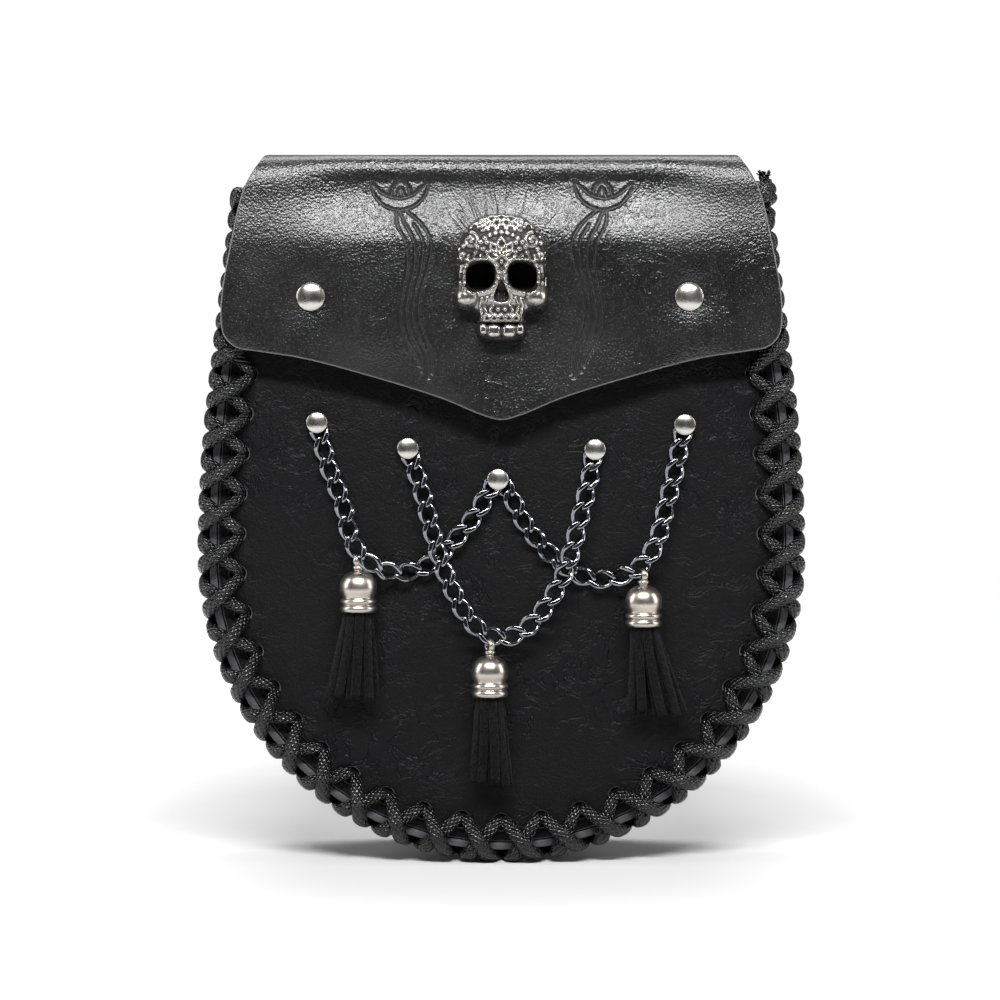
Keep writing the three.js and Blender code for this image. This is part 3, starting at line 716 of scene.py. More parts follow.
def leather_sheet(outline, holes, spacing, thickness, rim, place, dense=()):
    """A sheet with rounded rims. `place(points, depth)` bends flat points, `depth` under the
    grain side, into the pouch. Returns (vertices, faces), flat points and depths."""
    loops = [(outline, loop_normals(outline, 1))]
    loops += [(hole, loop_normals(hole, -1)) for hole in holes]
    inset = [points - normals * rim for points, normals in loops]
    flat = np.vstack([*inset, grid_points(inset[0], inset[1:], spacing, dense)])
    edges = []
    for points, _ in loops:
        start, count = len(edges), len(points)
        edges += [(start + k, start + (k + 1) % count) for k in range(count)]
    result = delaunay_2d_cdt([Vector(p) for p in flat], edges, [], 1, 1e-5)
    flat = np.array([tuple(p) for p in result[0]])
    triangles = np.array([face for face in result[2] if len(face) == 3])
    for hole in inset[1:]:
        triangles = triangles[outside_hole(flat[triangles].mean(1), hole, 0.97)]
    corner = flat[triangles]
    first, second = corner[:, 1] - corner[:, 0], corner[:, 2] - corner[:, 0]
    backwards = first[:, 0] * second[:, 1] - first[:, 1] * second[:, 0] < 0
    triangles[backwards] = triangles[backwards][:, ::-1]

    count = len(flat)
    points, depths = [flat, flat], [np.zeros(count), np.full(count, thickness)]
    faces = [*triangles, *(triangles[:, ::-1] + count)]
    quarter = np.radians([22.5, 45, 67.5, 90])
    profile = [(rim * (1 - math.sin(a)), rim * (1 - math.cos(a))) for a in quarter]
    profile += [(from_edge, thickness - depth) for from_edge, depth in reversed(profile)]
    lookup = point_tree(flat)
    total = 2 * count
    for index, ((loop, normals), start_points) in enumerate(zip(loops, inset)):
        top = np.array([lookup.find((x, y, 0))[1] for x, y in start_points])
        size = len(loop)
        rings = [top]
        for from_edge, depth in profile:
            points.append(loop - normals * from_edge)
            depths.append(np.full(size, depth))
            rings.append(np.arange(total, total + size))
            total += size
        rings.append(top + count)
        turn = 1 if runs_left(loop) == (index == 0) else -1
        for upper, lower in zip(rings, rings[1:]):
            quads = np.stack([upper, lower, np.roll(lower, -1), np.roll(upper, -1)], 1)
            faces += [*quads[:, ::turn]]
    points, depths = np.vstack(points), np.concatenate(depths)
    return (place(points, depths), [tuple(face.tolist()) for face in faces]), points, depths


def soft_waves(u, v, seed, amplitude, length):
    """Broad, irregular undulation of hide that has been handled."""
    dice = np.random.default_rng(seed)
    total = np.zeros_like(u)
    for _ in range(7):
        angle = dice.uniform(0, np.pi)
        wave = length * dice.uniform(0.7, 1.6)
        phase = dice.uniform(0, 2 * np.pi)
        total += np.sin(2 * np.pi * (u * math.cos(angle) + v * math.sin(angle)) / wave + phase)
    return amplitude * total / 3.5


def add_sheet(name, part, depths, thickness, rim, material, node, rim_lightness=1.0):
    """Adds a leather sheet. Its rim attribute is 0 on its faces and rises to the given lightness
    within its rims, where the material makes it lighter: partly the real paler cut edge, partly
    a painted highlight on the rounded rim."""
    piece = add_piece(name, part, material, [node])
    under = np.minimum(depths, thickness - depths) / (0.3 * rim)
    add_attribute(piece, "cut_edge", rim_lightness * np.clip(under, 0, 1))
    return piece


def make_front_panel():
    """The front: a punched panel, pulled in a little around each lacing hole."""
    holes_at, _ = edge_frame(HOLE_STATIONS)
    hole_pull, hole_reach, rivet_dimple, rivet_reach, ease_in = 0.55, 9.0, 0.25, 8.0, 0.2
    rivets = np.array([(rivet.x, TOP_Z - rivet.below) for rivet in CHAIN_RIVETS])
    rim, edge_spacing, point_spacing = 0.5, 2.2, 2.3
    stations = np.linspace(-MOUTH_STATION, MOUTH_STATION, int(2 * MOUTH_STATION / edge_spacing))
    point, outward = edge_frame(stations)
    side = point + outward * (HOLE_INSET - GUSSET_THICKNESS - SEAM_GAP)
    across = int((side[-1][0] - side[0][0]) / edge_spacing) + 1
    outline = np.vstack([side, np.linspace(side[-1], side[0], across)[1:-1]])

    def place(points, depth):
        x, z = points.T
        pull = hole_pull * bump_shape(nearest_distance(points, holes_at), hole_reach)
        dimple = rivet_dimple * bump_shape(nearest_distance(points, rivets), rivet_reach)
        swell = soft_waves(x, z, seed=3, amplitude=0.28, length=75)
        return np.stack([x, front_y(z) + depth + pull + dimple + swell + ease_in, z], 1)

    holes = [circle(centre, sizes("hole_diameter") / 2, 22) for centre in holes_at]
    part, _, depths = leather_sheet(outline, holes, point_spacing, LEATHER, rim, place)
    material = faux_leather("black_faux_leather_matt", colour("leather"), gloss=0.5,
                            shine=0.13, creasing=0.5)
    add_sheet("front_leather", part, depths, LEATHER, rim, material,
              "front_panel")


def gusset_depth(station):
    """From the front edge of the gusset to its rear edge, at a station."""
    z = edge_point(station, HOLE_INSET, 0)[:, 2]
    return -front_y(z) - LEATHER - SEAM_GAP


def make_gusset():
    """The side band, wrapped round the edge of the pouch and punched for the lacing."""
    stations = np.linspace(-MOUTH_STATION, MOUTH_STATION, 260)
    rear = gusset_depth(stations)
    side = np.linspace(0, rear[-1], 12)[1:-1]
    end = np.full(len(side), MOUTH_STATION)
    outline = np.vstack([
        np.stack([stations, np.zeros_like(stations)], 1), np.stack([end, side], 1),
        np.stack([stations, rear], 1)[::-1], np.stack([-end, side[::-1]], 1),
    ])

    def place(points, depth):
        station, back = points.T
        point, outward = edge_frame(station)
        share = back / gusset_depth(station)
        slack = soft_waves(station, back * 3, seed=11, amplitude=0.5, length=60)
        out = HOLE_INSET - depth + slack * np.sin(np.pi * share)
        x, z = (point + outward * out[:, None]).T
        return np.stack([x, front_y(z) + back, z], 1)

    rim, point_spacing = 0.45, 3.4
    radius = sizes("hole_diameter") / 2
    holes = [circle((station, HOLE_DEPTH), radius, 18) for station in HOLE_STATIONS]
    part, _, depths = leather_sheet(outline, holes, point_spacing, GUSSET_THICKNESS, rim, place)
    material = faux_leather("black_faux_leather_gusset", colour("leather"), gloss=0.5,
                            shine=0.35, creasing=0.15)
    add_sheet("gusset_band", part, depths, GUSSET_THICKNESS, rim, material,
              "gusset", 0.35)


# ------------------------------------------------------------------ back panel, fold and flap

# The hide is laid flat for cutting: `run` goes up the back, over the fold and down the flap, and
# is 0 where the fold begins.
FOLD_Z = TOP_Z - FOLD_RADIUS
FLAP_Y = front_y(FOLD_Z) - FLAP_STANDOFF - LEATHER
BACK_BEND_RUN = FOLD_RADIUS * math.pi / 2
FRONT_BEND_TURN = math.pi / 2 - FRONT_LEAN
FRONT_BEND_Y = FLAP_Y + FOLD_RADIUS
TOP_RUN = -FOLD_RADIUS - FRONT_BEND_Y
FLAP_START_RUN = BACK_BEND_RUN + TOP_RUN + FOLD_RADIUS * FRONT_BEND_TURN
FLAP_START_Z = FOLD_Z + FOLD_RADIUS * math.sin(FRONT_LEAN)

# Half of the flap's outline: distances from the centreline and below the top of the fold.
FLAP_EDGE = [
    (82.0, -4.5), (83.2, -0.5), (85.4, 3.8), (88.2, 9.9), (90.4, 17.0), (92.2, 26.0), (94.0, 35.0),
    (95.6, 44.0), (96.4, 53.0), (95.4, 61.0), (91.5, 65.0), (84.0, 66.5), (69.0, 68.8),
    (47.0, 74.5), (21.0, 82.5), (6.0, 88.6), (0.0, 90.0),
]
FOLD_HALF_WIDTH = FLAP_EDGE[0][0]
FLAP_CROWN = 1.6                  # how far the middle of the flap swells out
FOLD_EASE = 4.4                   # how far the hide dips in just under the fold
FLAP_DIMPLE = 0.55                # how deep its rivets and the emblem sit
FLAP_RIVETS = [(-65.5, 47.8), (64.5, 47.8)]
SKULL_BELOW = 41.4


def flap_run(below):
    """Distance along the hide to a place on the flap, from its height under the top."""
    z = TOP_Z - np.asarray(below, float)
    return FLAP_START_RUN + (FLAP_START_Z - z) / math.cos(FRONT_LEAN)


def on_hide(points):
    """Places (x, below) as flat points of the hide."""
    x, below = np.asarray(points, float).T
    return np.stack([x, flap_run(below)], 1)


def fold_place(run):
    """(y, z) on the hide's outer face and its outward normal, for each run."""
    back_angle = np.clip(run, 0, BACK_BEND_RUN) / FOLD_RADIUS
    top = np.clip(run - BACK_BEND_RUN, 0, TOP_RUN)
    turn = np.clip(run - BACK_BEND_RUN - TOP_RUN, 0, FOLD_RADIUS * FRONT_BEND_TURN) / FOLD_RADIUS
    angle = back_angle + turn
    down = np.maximum(run - FLAP_START_RUN, 0)
    y = -FOLD_RADIUS + FOLD_RADIUS * np.cos(angle) - top - down * math.sin(FRONT_LEAN)
    z = FOLD_Z + FOLD_RADIUS * np.sin(angle) + np.minimum(run, 0) - down * math.cos(FRONT_LEAN)
    return y, z, np.cos(angle), np.sin(angle)


# Two mirrored ornaments are stamped in the flap: a crescent over a ribbon of three strands that
# sways and tapers to two loose ends. Places are from the ornament's own axis.
TOOLED_AXIS = 34.6
CRESCENT = [
    [(-10.2, 8.5), (-9.2, 12.7), (-5.6, 16.6), (0.2, 18.0), (5.6, 16.0), (8.8, 11.8), (9.4, 7.6)],
    [(-10.2, 8.5), (-7.4, 11.4), (-4.2, 13.3), (0.0, 13.9), (4.2, 12.7), (7.2, 10.1), (9.4, 7.6)],
    [(-3.4, 13.5), (-2.6, 10.0), (0.0, 7.2), (2.6, 10.0), (3.2, 13.1)],
    [(-1.2, 13.0), (0.0, 10.6), (1.2, 13.0)],
]
# Below the top, the ribbon's middle and its half width.
RIBBON_SWAY = [
    (18.0, 0.0, 1.6), (23.0, 3.0, 4.2), (29.0, 6.0, 4.4), (37.0, 6.0, 3.6), (46.0, 4.0, 3.1),
    (54.0, 3.0, 3.2), (61.0, 4.4, 3.6), (68.0, 7.6, 2.8),
]
# Share of the half width, first row of the sway, and loose end.
RIBBON_STRANDS = [
    (-1.0, 0, (6.4, 71.6)), (-0.34, 0, (7.2, 73.4)), (0.36, 1, (9.6, 75.4)), (1.0, 0, (10.6, 74.2)),
]


def tooled_lines(side):
    """The ornament's lines on one side, as flat points (x, below)."""
    lines = [smooth_line(points) for points in CRESCENT]
    for across, start, loose_end in RIBBON_STRANDS:
        points = [(middle + across * half, below) for below, middle, half in RIBBON_SWAY[start:]]
        lines.append(smooth_line([*points, loose_end]))
    flat = np.vstack(lines)
    flat[:, 0] = side * (flat[:, 0] - TOOLED_AXIS)
    return flat


def hide_outline():
    """Flat outline of the hide: the back panel, the fold and the pointed flap."""
    point, outward = edge_frame(np.linspace(-MOUTH_STATION, MOUTH_STATION, 300))
    back = point + outward * HOLE_INSET
    back[:, 1] -= FOLD_Z
    right = [(back[-1][0] - 1.2, 0.6), (FOLD_HALF_WIDTH + 1.5, 1.0), (FOLD_HALF_WIDTH + 0.3, 2.4)]
    right += [(FOLD_HALF_WIDTH, run) for run in np.arange(4.5, float(flap_run(-6.0)), 2.5)]
    edge = on_hide(FLAP_EDGE)
    flap = smooth_line(np.vstack([edge, edge[-2::-1] * (-1, 1)]), 1.6)
    return np.vstack([back, right, flap, [(-x, run) for x, run in right[::-1]]])


def make_back_and_flap():
    """Back panel, fold and pointed flap in one hide, with the stamped ornaments."""
    ornament = on_hide(np.vstack([tooled_lines(1), tooled_lines(-1)]))
    margin, fine_step = 2.5, 0.45
    dense = []
    for side in (-1, 1):
        half = ornament[ornament[:, 0] * side > 0]
        dense.append((half.min(0) - margin, half.max(0) + margin, fine_step))
    rivets = on_hide(FLAP_RIVETS)
    emblem = on_hide([(0.0, SKULL_BELOW)])
    stamped = sizes("tooling_depth")

    def grooves(gap):
        return ridge(gap, 0.36)

    def swell(x, run):
        """How far the hide stands out from its plain bend. Every range is in millimetres along
        the hide or from the centreline."""
        on_flap = np.clip((run - BACK_BEND_RUN) / 30, 0, 1)
        out = soft_waves(x, run, seed=5, amplitude=0.55, length=80) * on_flap
        low_edge = np.clip((run - flap_run(50)) / 20, 0, 1) * np.clip(np.abs(x) / 60, 0, 1)
        out += 0.7 * low_edge * np.sin(x / 8.5) * np.sin(run / 7 + 1)
        points = np.stack([x, run], 1)
        held = np.maximum(bump_shape(nearest_distance(points, rivets), width=15),
                          bump_shape(nearest_distance(points, emblem), width=36))
        past_fold = run - FLAP_START_RUN
        crown = np.clip(past_fold / 26, 0, 1) * np.clip((flap_run(84) - run) / 45, 0, 1)
        out += FLAP_CROWN * ease(crown) * (1 - held)
        dip = np.clip(np.where(past_fold < -2, (past_fold + 13) / 11, (20 - past_fold) / 22), 0, 1)
        clear_of_lace = 1 - 0.7 * ease(np.clip((np.abs(x) - 50) / 34, 0, 1))
        return out - FOLD_EASE * ease(dip) * clear_of_lace - FLAP_DIMPLE * held + 0.3 * on_flap

    def place(points, depth):
        x, run = points.T
        y, z, normal_y, normal_z = fold_place(run)
        lift = swell(x, run) - depth
        gap = nearest_distance(points, ornament)
        padded_strands = ridge(gap - 1.3, 0.8)
        near_grain_side = np.clip(1 - depth / 0.8, 0, 1)
        lift += stamped * (0.2 * padded_strands - grooves(gap)) * near_grain_side
        return np.stack([x, y + normal_y * lift, z + normal_z * lift], 1)

    rim, spacing = 0.6, 3.2
    part, points, depths = leather_sheet(hide_outline(), [], spacing, LEATHER, rim, place, dense)
    material = faux_leather("black_faux_leather_glossy", colour("flap"), gloss=0.3, shine=0.55,
                            creasing=0.09, emblem_z=TOP_Z - SKULL_BELOW)
    hide = add_sheet("back_and_flap_leather", part, depths, LEATHER, rim, material,
                     "back_and_flap")
    # The stamped grooves are marked for painted shade, black in the leather's colour.
    painted_groove_shade = grooves(nearest_distance(points, ornament))
    add_attribute(hide, "tooling", 0.8 * painted_groove_shade * (depths < 0.3))


# ------------------------------------------------------------------ belt loops and seams

LOOP_OFFSET = 48.0
LOOP_WIDTH = 26.0
LOOP_THICKNESS = 1.9
# Half of a loop's middle line: distances behind the back panel and from the belt's middle.
LOOP_LINE = [
    (1.3, 36.8), (1.3, 30.0), (2.0, 26.4), (5.9, 21.6), (7.2, 18.6), (7.3, 10.0), (7.3, 0.0),
]
STITCH_LENGTH = 3.0


def stitches(ends):
    """Stitches seen from behind: arched lengths of thread that dip in at both ends."""
    thickness = 0.75
    normal = np.array([0.0, 1.0, 0.0])
    share = np.linspace(0, 1, 9)
    height = 0.42 * thickness * (1 - (2 * share - 1) ** 4) - 0.25 * thickness
    parts = []
    for start, end in np.asarray(ends, float):
        centres = start + (end - start) * share[:, None] + normal * height[:, None]
        across = np.cross(normal, unit(end - start))
        axes = [np.tile(axis * thickness / 2, (9, 1)) for axis in (across, normal)]
        parts.append(tube(centres, *axes))
    return join_parts(parts)


def make_belt_loops():
    """Two straps on the back, each with a sewn foot above and below the belt."""
    lower = [(depth, -height) for depth, height in LOOP_LINE[-2::-1]]
    line = smooth_line([*LOOP_LINE, *lower], 1.4)
    run = np.concatenate([[0], np.cumsum(np.linalg.norm(np.diff(line, axis=0), axis=1))])
    tangent = unit(np.gradient(line, axis=0))
    normal = np.stack([-tangent[:, 1], tangent[:, 0]], 1)
    corner, rim, spacing = 2.0, 0.4, 2.2
    near, far = LOOP_WIDTH / 2 - corner, run[-1] - corner
    outline = []
    for turn, centre in enumerate([(near, corner), (near, far), (-near, far), (-near, corner)]):
        outline += arc(centre, corner, 90 * turn - 90, 90 * turn, 5)
    outline = np.array([*outline, outline[0]])
    outline = resample(outline, 1.5)[0][:-1]
    material = faux_leather("black_faux_leather_strap", colour("leather"), gloss=0.5,
                            shine=0.35, creasing=0.12)
    thread = sewing_thread()
    for name, side in (("left", -1), ("right", 1)):

        def place(points, depth):
            x, at = points.T
            centre, out = (
                np.stack([np.interp(at, run, column) for column in table.T], 1)
                for table in (line, normal)
            )
            y, z = (centre + out * (LOOP_THICKNESS / 2 - depth)[:, None]).T
            return np.stack([side * LOOP_OFFSET + x, y, z], 1)

        part, _, depths = leather_sheet(outline, [], spacing, LOOP_THICKNESS, rim, place)
        add_sheet(f"belt_loop_strap_{name}", part, depths, LOOP_THICKNESS, rim, material,
                  f"belt_loop_{name}")
        add_piece(f"belt_loop_stitches_{name}", foot_stitches(side * LOOP_OFFSET), thread)


def foot_stitches(middle):
    """A box of stitches on each foot of a loop."""
    inset, foot_high, foot_low = 3.0, 34.2, 28.8
    half = LOOP_WIDTH / 2 - inset
    outer = LOOP_LINE[0][0] + LOOP_THICKNESS / 2
    corners = [(-half, foot_low), (half, foot_low), (half, foot_high), (-half, foot_high)]
    ends = []
    for side in (-1, 1):
        for (x1, z1), (x2, z2) in zip(corners, corners[1:] + corners[:1]):
            count = max(round(math.hypot(x2 - x1, z2 - z1) / STITCH_LENGTH), 1)
            for index in range(count):
                ends.append([
                    (middle + x1 + (x2 - x1) * share, outer, side * (z1 + (z2 - z1) * share))
                    for share in ((index + 0.1) / count, (index + 0.9) / count)
                ])
    return stitches(ends)


def make_rear_seam():
    """Box stitches that sew the gusset to the back panel, all round the back."""
    seam_inset, on_back, gap = 4.2, 0.05, 0.25
    holes = np.arange(-MOUTH_STATION + 6, MOUTH_STATION - 6, STITCH_LENGTH * 1.12)
    ends = np.stack([
        edge_point(station, HOLE_INSET - seam_inset, 0)
        for station in (holes[:-1] + gap, holes[1:] - gap)
    ], 1)
    ends[..., 1] = on_back
    add_piece("rear_seam_stitches", stitches(ends), sewing_thread())


# ------------------------------------------------------------------ lacing

# One wrap of the cord, as the solid's route has it: pitches of holes to the next hole, a shift
# sideways, distances out from the hole line and before the front face, and the cord's radius.
WRAP = [
    (0.0, 1.1, -0.9, 1.1, 1.45), (0.5, 0.0, 6.6, 1.95, 1.8), (0.72, 0.0, 11.1, 1.3, 2.1),
    (0.97, -1.2, 10.9, -7.3, 1.9), (1.0, 0.0, 3.4, -5.7, 1.2), (1.0, 1.1, -0.6, -2.2, 1.3),
]
RETURN_WRAP = [
    WRAP[0], (0.5, 0.0, 6.6, 5.1, 1.8), *WRAP[2:4], (1.0, 0.0, 2.2, -9.3, 1.2), WRAP[5],
]
TURN_BACK = [
    (0.0, -1.1, -0.9, 1.1, 1.45), (-0.36, 0.0, 6.6, 1.95, 1.8), (-0.4, 0.0, 11.1, 1.3, 2.1),
    (0.0, -1.2, 10.9, -7.3, 1.9), (0.0, 0.0, 2.2, -9.3, 1.2), (0.0, 1.1, -0.6, -2.2, 1.3),
]
FROM_KNOT = [
    (0.75, 0.0, 12.5, -7.5, 1.8), (0.4, 0.0, 12.3, -8.3, 1.8), (0.0, 1.2, 11.0, -7.3, 1.6),
    (0.0, 0.0, 3.4, -5.7, 1.2), (0.0, -1.1, -0.6, -2.2, 1.3),
]
TO_KNOT = [
    (0.0, 1.1, -0.9, 1.1, 1.45), (0.3, 0.0, 6.6, 2.2, 1.8), (0.42, 0.0, 10.9, 2.0, 2.0),
    (0.55, 0.0, 12.0, -1.5, 1.9), (0.65, 0.0, 12.3, -4.5, 1.8),
]
FULL_RADIUS = 1.8
LACE_CORE_OUT, LACE_CORE_LIFT = 5.0, -3.6     # middle of the loop that a wrap makes


def lace_rings():
    """Stations, outs, lifts and radii of the whole cord, from the knot and back to it, and where
    in them it turns back."""
    last = HOLES_EACH_SIDE
    wraps = [(last, 1, FROM_KNOT), *((hole, -1, WRAP) for hole in range(last, -last, -1))]
    wraps.append((-last, 1, TURN_BACK))
    turn = sum(len(table) for _, _, table in wraps)
    wraps += [*((hole, 1, RETURN_WRAP) for hole in range(-last, last)), (last, 1, TO_KNOT)]
    rings = [
        ((hole + way * holes) * HOLE_PITCH + way * beside, out, lift, radius)
        for hole, way, table in wraps for holes, beside, out, lift, radius in table
    ]
    return np.array(rings), turn


def add_cord(name, centres, normals, half_width, half_thickness, run, material):
    """A flattened round cord, with where each vertex lies along and around it. The seam of
    `around` is on the underside."""
    sides = 14
    tangent = unit(np.gradient(centres, axis=0))
    normals = unit(normals - tangent * np.sum(normals * tangent, 1, keepdims=True))
    across = np.cross(tangent, normals)
    angles = even_angles(sides) - np.pi / 2
    section = [np.sign(axis) * np.abs(axis) ** 0.9 for axis in (np.cos(angles), np.sin(angles))]
    cord = swept(centres, across * half_width[:, None], normals * half_thickness[:, None],
                 np.stack(section, 1))
    piece = add_piece(name, cord, material, ["edge_lace"])
    add_attribute(piece, "along", np.repeat(run, sides))
    add_attribute(piece, "around", np.tile(np.arange(sides) / sides, len(centres)))


def make_lacing():
    """The waxed cord: one pass down and one back, crossing on the front, and its knot."""
    rings, turn = lace_rings()
    station, out, lift, radius = rings.T
    cores = edge_point(station, np.full_like(out, LACE_CORE_OUT), LACE_CORE_LIFT)
    steps, spacing = 10, 0.8
    smooth = catmull_rom(edge_point(station, out, lift), steps)
    at, rings_at = np.arange(len(smooth)), np.arange(len(rings)) * steps
    carried = np.stack([np.interp(at, rings_at, column) for column in (*cores.T, radius)], 1)
    material = waxed_cord()
    half_sizes = [sizes(name) / 2 / FULL_RADIUS for name in ("cord_width", "cord_thickness")]
    split = turn * steps
    for name, first, last in (("lace_down", 0, split + 2), ("lace_back", split, len(smooth))):
        even, values, run = resample(smooth[first:last], spacing, carried[first:last])
        halves = [values[:, 3] * half for half in half_sizes]
        add_cord(name, even, even - values[:, :3], *halves, run, material)
    make_knot(material)


# The overhand knot beside the last hole, from its own middle.
KNOT_LINE = [
    (-1.0, 1.0, -9.5), (2.6, -1.0, -8.2), (1.0, -3.0, -6.4), (-2.8, -1.2, -5.2), (-1.4, 2.4, -4.2),
    (2.6, 1.6, -3.4), (3.0, -2.0, -2.2), (-0.6, -3.6, -1.2), (-3.2, -0.4, -0.2), (-0.8, 3.0, 0.6),
    (3.0, 0.8, 0.6), (2.0, -2.8, 1.6), (-2.0, -2.4, 1.8), (-2.4, 1.2, 1.6), (0.6, 1.0, 2.2),
    (0.6, -0.6, 3.6), (0.2, -0.2, 5.2),
]


def make_knot(material):
    """The knot at the upper right, with the cord's end frayed above it."""
    beside_hole, out, lift = 0.48, 10.8, -5
    middle = edge_point([(HOLES_EACH_SIDE + beside_hole) * HOLE_PITCH], out, lift)[0]
    even, _, run = resample(catmull_rom(KNOT_LINE, 14), 0.5)
    halves = [np.full(len(even), half) for half in (1.95, 1.55)]
    add_cord("lace_knot", even + middle, even + (0.01, 0.02, 0.0), *halves, run, material)
    dice = np.random.default_rng(21)
    fibre_count, fibre_radius = 34, 0.3
    axes = [np.tile(axis, (7, 1)) for axis in ((fibre_radius, 0, 0), (0, fibre_radius, 0))]
    fibres = []
    for _ in range(fibre_count):
        angle, splay = dice.uniform(0, 2 * np.pi), dice.uniform(0.2, 2.1)
        length = dice.uniform(1.0, 2.8)
        root = middle + np.array([0.2 + 1.1 * math.cos(angle), -0.2 + 1.1 * math.sin(angle), 4.6])
        bend = np.array([math.cos(angle), math.sin(angle), 0]) * splay
        share = np.linspace(0, 1, 7)[:, None]
        centres = root + np.array([0, 0, length]) * share + bend * share ** 1.6
        fibres.append(tube(centres, *axes))
    add_piece("lace_frayed_end", join_parts(fibres), material, ["edge_lace"])


# ------------------------------------------------------------------ rivets and chains

# `pulls` lists the directions, in degrees, in which chains leave a rivet.
Rivet = namedtuple("Rivet", "name x below pulls")
CHAIN_RIVETS = [
    Rivet("chain_rivet_1", -63.7, 91.8, [-76]),
    Rivet("chain_rivet_2", -32.3, 100.7, [-72]),
    Rivet("chain_rivet_3", -1.2, 111.4, [-128, -50]),
    Rivet("chain_rivet_4", 32.3, 101.1, [-106]),
    Rivet("chain_rivet_5", 63.3, 92.5, [-104]),
]
CHAIN_LIFT = 2.2
CROSSING_LIFT = 6.3
CAP_LIFT = 2.2
FLAP_CAP_SINK = 0.35
HELD_LINK_HALF_LENGTH = 4.3
HELD_LINK_REACH = 3.0
HELD_LINK_LIFT = 1.9


def pulled(rivet, degrees, reach):
    """A place (x, below, lift) beside a rivet, in the direction in which a chain pulls."""
    angle = math.radians(degrees)
    return (rivet.x + reach * math.cos(angle), rivet.below - reach * math.sin(angle),
            HELD_LINK_LIFT)


def held_end(number, pull=0):
    """Where a chain starts, in the far end of a rivet's held link."""
    rivet = CHAIN_RIVETS[number - 1]
    return pulled(rivet, rivet.pulls[pull], HELD_LINK_REACH + HELD_LINK_HALF_LENGTH - 1.0)


# Name, number of nodes, number of links and route; a route lists places (x, below, lift), and
# both its ends are in a held link.
SWAGS = [
    ("chain_left", 14, 14, [
        held_end(1), (-59.4, 107.6, CHAIN_LIFT), (-54.4, 120.6, 3.2), (-51.8, 131.2, 5.8),
        (-48.4, 137.4, 6.9), (-42.6, 141.8, 5.8), (-34.8, 143.6, 3.2), (-27.0, 141.8, CHAIN_LIFT),
        (-20.5, 136.8, CHAIN_LIFT), (-13.6, 129.3, CHAIN_LIFT), (-7.8, 121.9, CHAIN_LIFT),
        held_end(3, 0),
    ]),
    ("chain_middle", 10, 20, [
        held_end(2), (-28.1, 112.8, 2.6), (-24.9, 124.9, 4.8), (-21.4, 138.0, CROSSING_LIFT),
        (-16.2, 150.8, CROSSING_LIFT), (-10.6, 160.2, 6.5), (-4.2, 165.0, 6.5), (3.2, 165.4, 6.5),
        (10.4, 161.0, 6.5), (19.8, 147.6, CROSSING_LIFT), (24.3, 135.2, CROSSING_LIFT),
        (27.9, 121.4, 4.8), (30.9, 108.5, 2.6), held_end(4),
    ]),
    ("chain_right", 15, 15, [
        held_end(3, 1), (8.3, 126.8, CHAIN_LIFT), (15.0, 135.2, CHAIN_LIFT),
        (22.3, 141.8, CHAIN_LIFT), (30.5, 145.6, CHAIN_LIFT), (39.4, 145.2, 4.0),
        (46.6, 142.2, 6.0), (51.6, 136.4, 6.2), (54.8, 128.8, 5.0), (56.8, 120.5, 3.0),
        (60.0, 107.8, CHAIN_LIFT), held_end(5),
    ]),
]
LINK_TWIST = math.radians(52)


def curb_link(half_length, held=False):
    """A curb link: an oval of wire, twisted along its length, then pressed flat on its crowns.
    A held link is twisted at its far end only."""
    wire = sizes("link_wire") / 2
    half_width = sizes("link_width") / 2 - wire
    around, section = 40, 12
    ring, turn = np.meshgrid(even_angles(around), even_angles(section), indexing="ij")
    reach = wire * np.cos(turn)
    x = (half_length + reach) * np.cos(ring)
    y = (half_width + reach) * np.sin(ring)
    z = wire * np.sin(turn)
    share = x / half_length
    angle = LINK_TWIST * (np.maximum(share, 0) if held else share)
    y, z = y * np.cos(angle) - z * np.sin(angle), y * np.sin(angle) + z * np.cos(angle)
    pressed_half, left_over = 1.5, 0.12
    pressed = np.clip(z, -pressed_half, pressed_half)
    z = pressed + left_over * (z - pressed)
    return np.stack([x, y, z], -1).reshape(-1, 3), ring_faces(around, section, True)


def place_link(link, middle, along):
    outward = Vector((0, -math.cos(FRONT_LEAN), math.sin(FRONT_LEAN)))
    along = Vector(along).normalized()
    across = outward.cross(along).normalized()
    turn = Matrix((along, across, along.cross(across))).transposed().to_4x4()
    return moved(link, Matrix.Translation(middle) @ turn)


def make_chains():
    """Three swags of curb chain; the middle one lies over the other two."""
    material = polished_plate("gunmetal_plate_on_steel", colour("gunmetal"), roughness=0.09)
    for name, node_count, count, route in SWAGS:
        line = catmull_rom([tuple(on_face(*point)) for point in route], 30)
        even, _, run = resample(line, 0.2)
        half_length = (run[-1] / count + sizes("link_wire")) / 2
        links = []
        for index in range(count):
            at = (index + 0.5) / count * (len(even) - 1)
            centre = Vector([np.interp(at, np.arange(len(even)), column) for column in even.T])
            near = int(at)
            along = even[min(near + 2, len(even) - 1)] - even[max(near - 1, 0)]
            links.append(place_link(curb_link(half_length), centre, along))
        nodes = [f"{name}_{number:02d}" for number in range(1, node_count + 1)]
        add_piece(f"{name}_links", join_parts(links), material, nodes)


def rivet_cap(radius, height):
    """A domed tubular-rivet cap with a rolled rim."""
    base, rim = 0.3, 0.22 * height
    profile = [(0, base), (radius * 0.8, base), (radius * 0.96, base + 0.3 * rim)]
    profile += arc((radius - rim, base + rim), rim, -45, 60, 5)
    start, low = profile[-1]
    for share in np.linspace(0.12, 1, 9)[:-1]:
        rise = math.sin(share * math.pi / 2) ** 0.8
        profile.append((start * (1 - share), low + (height - low) * rise))
    return turned([*profile, (0, height)], 40)


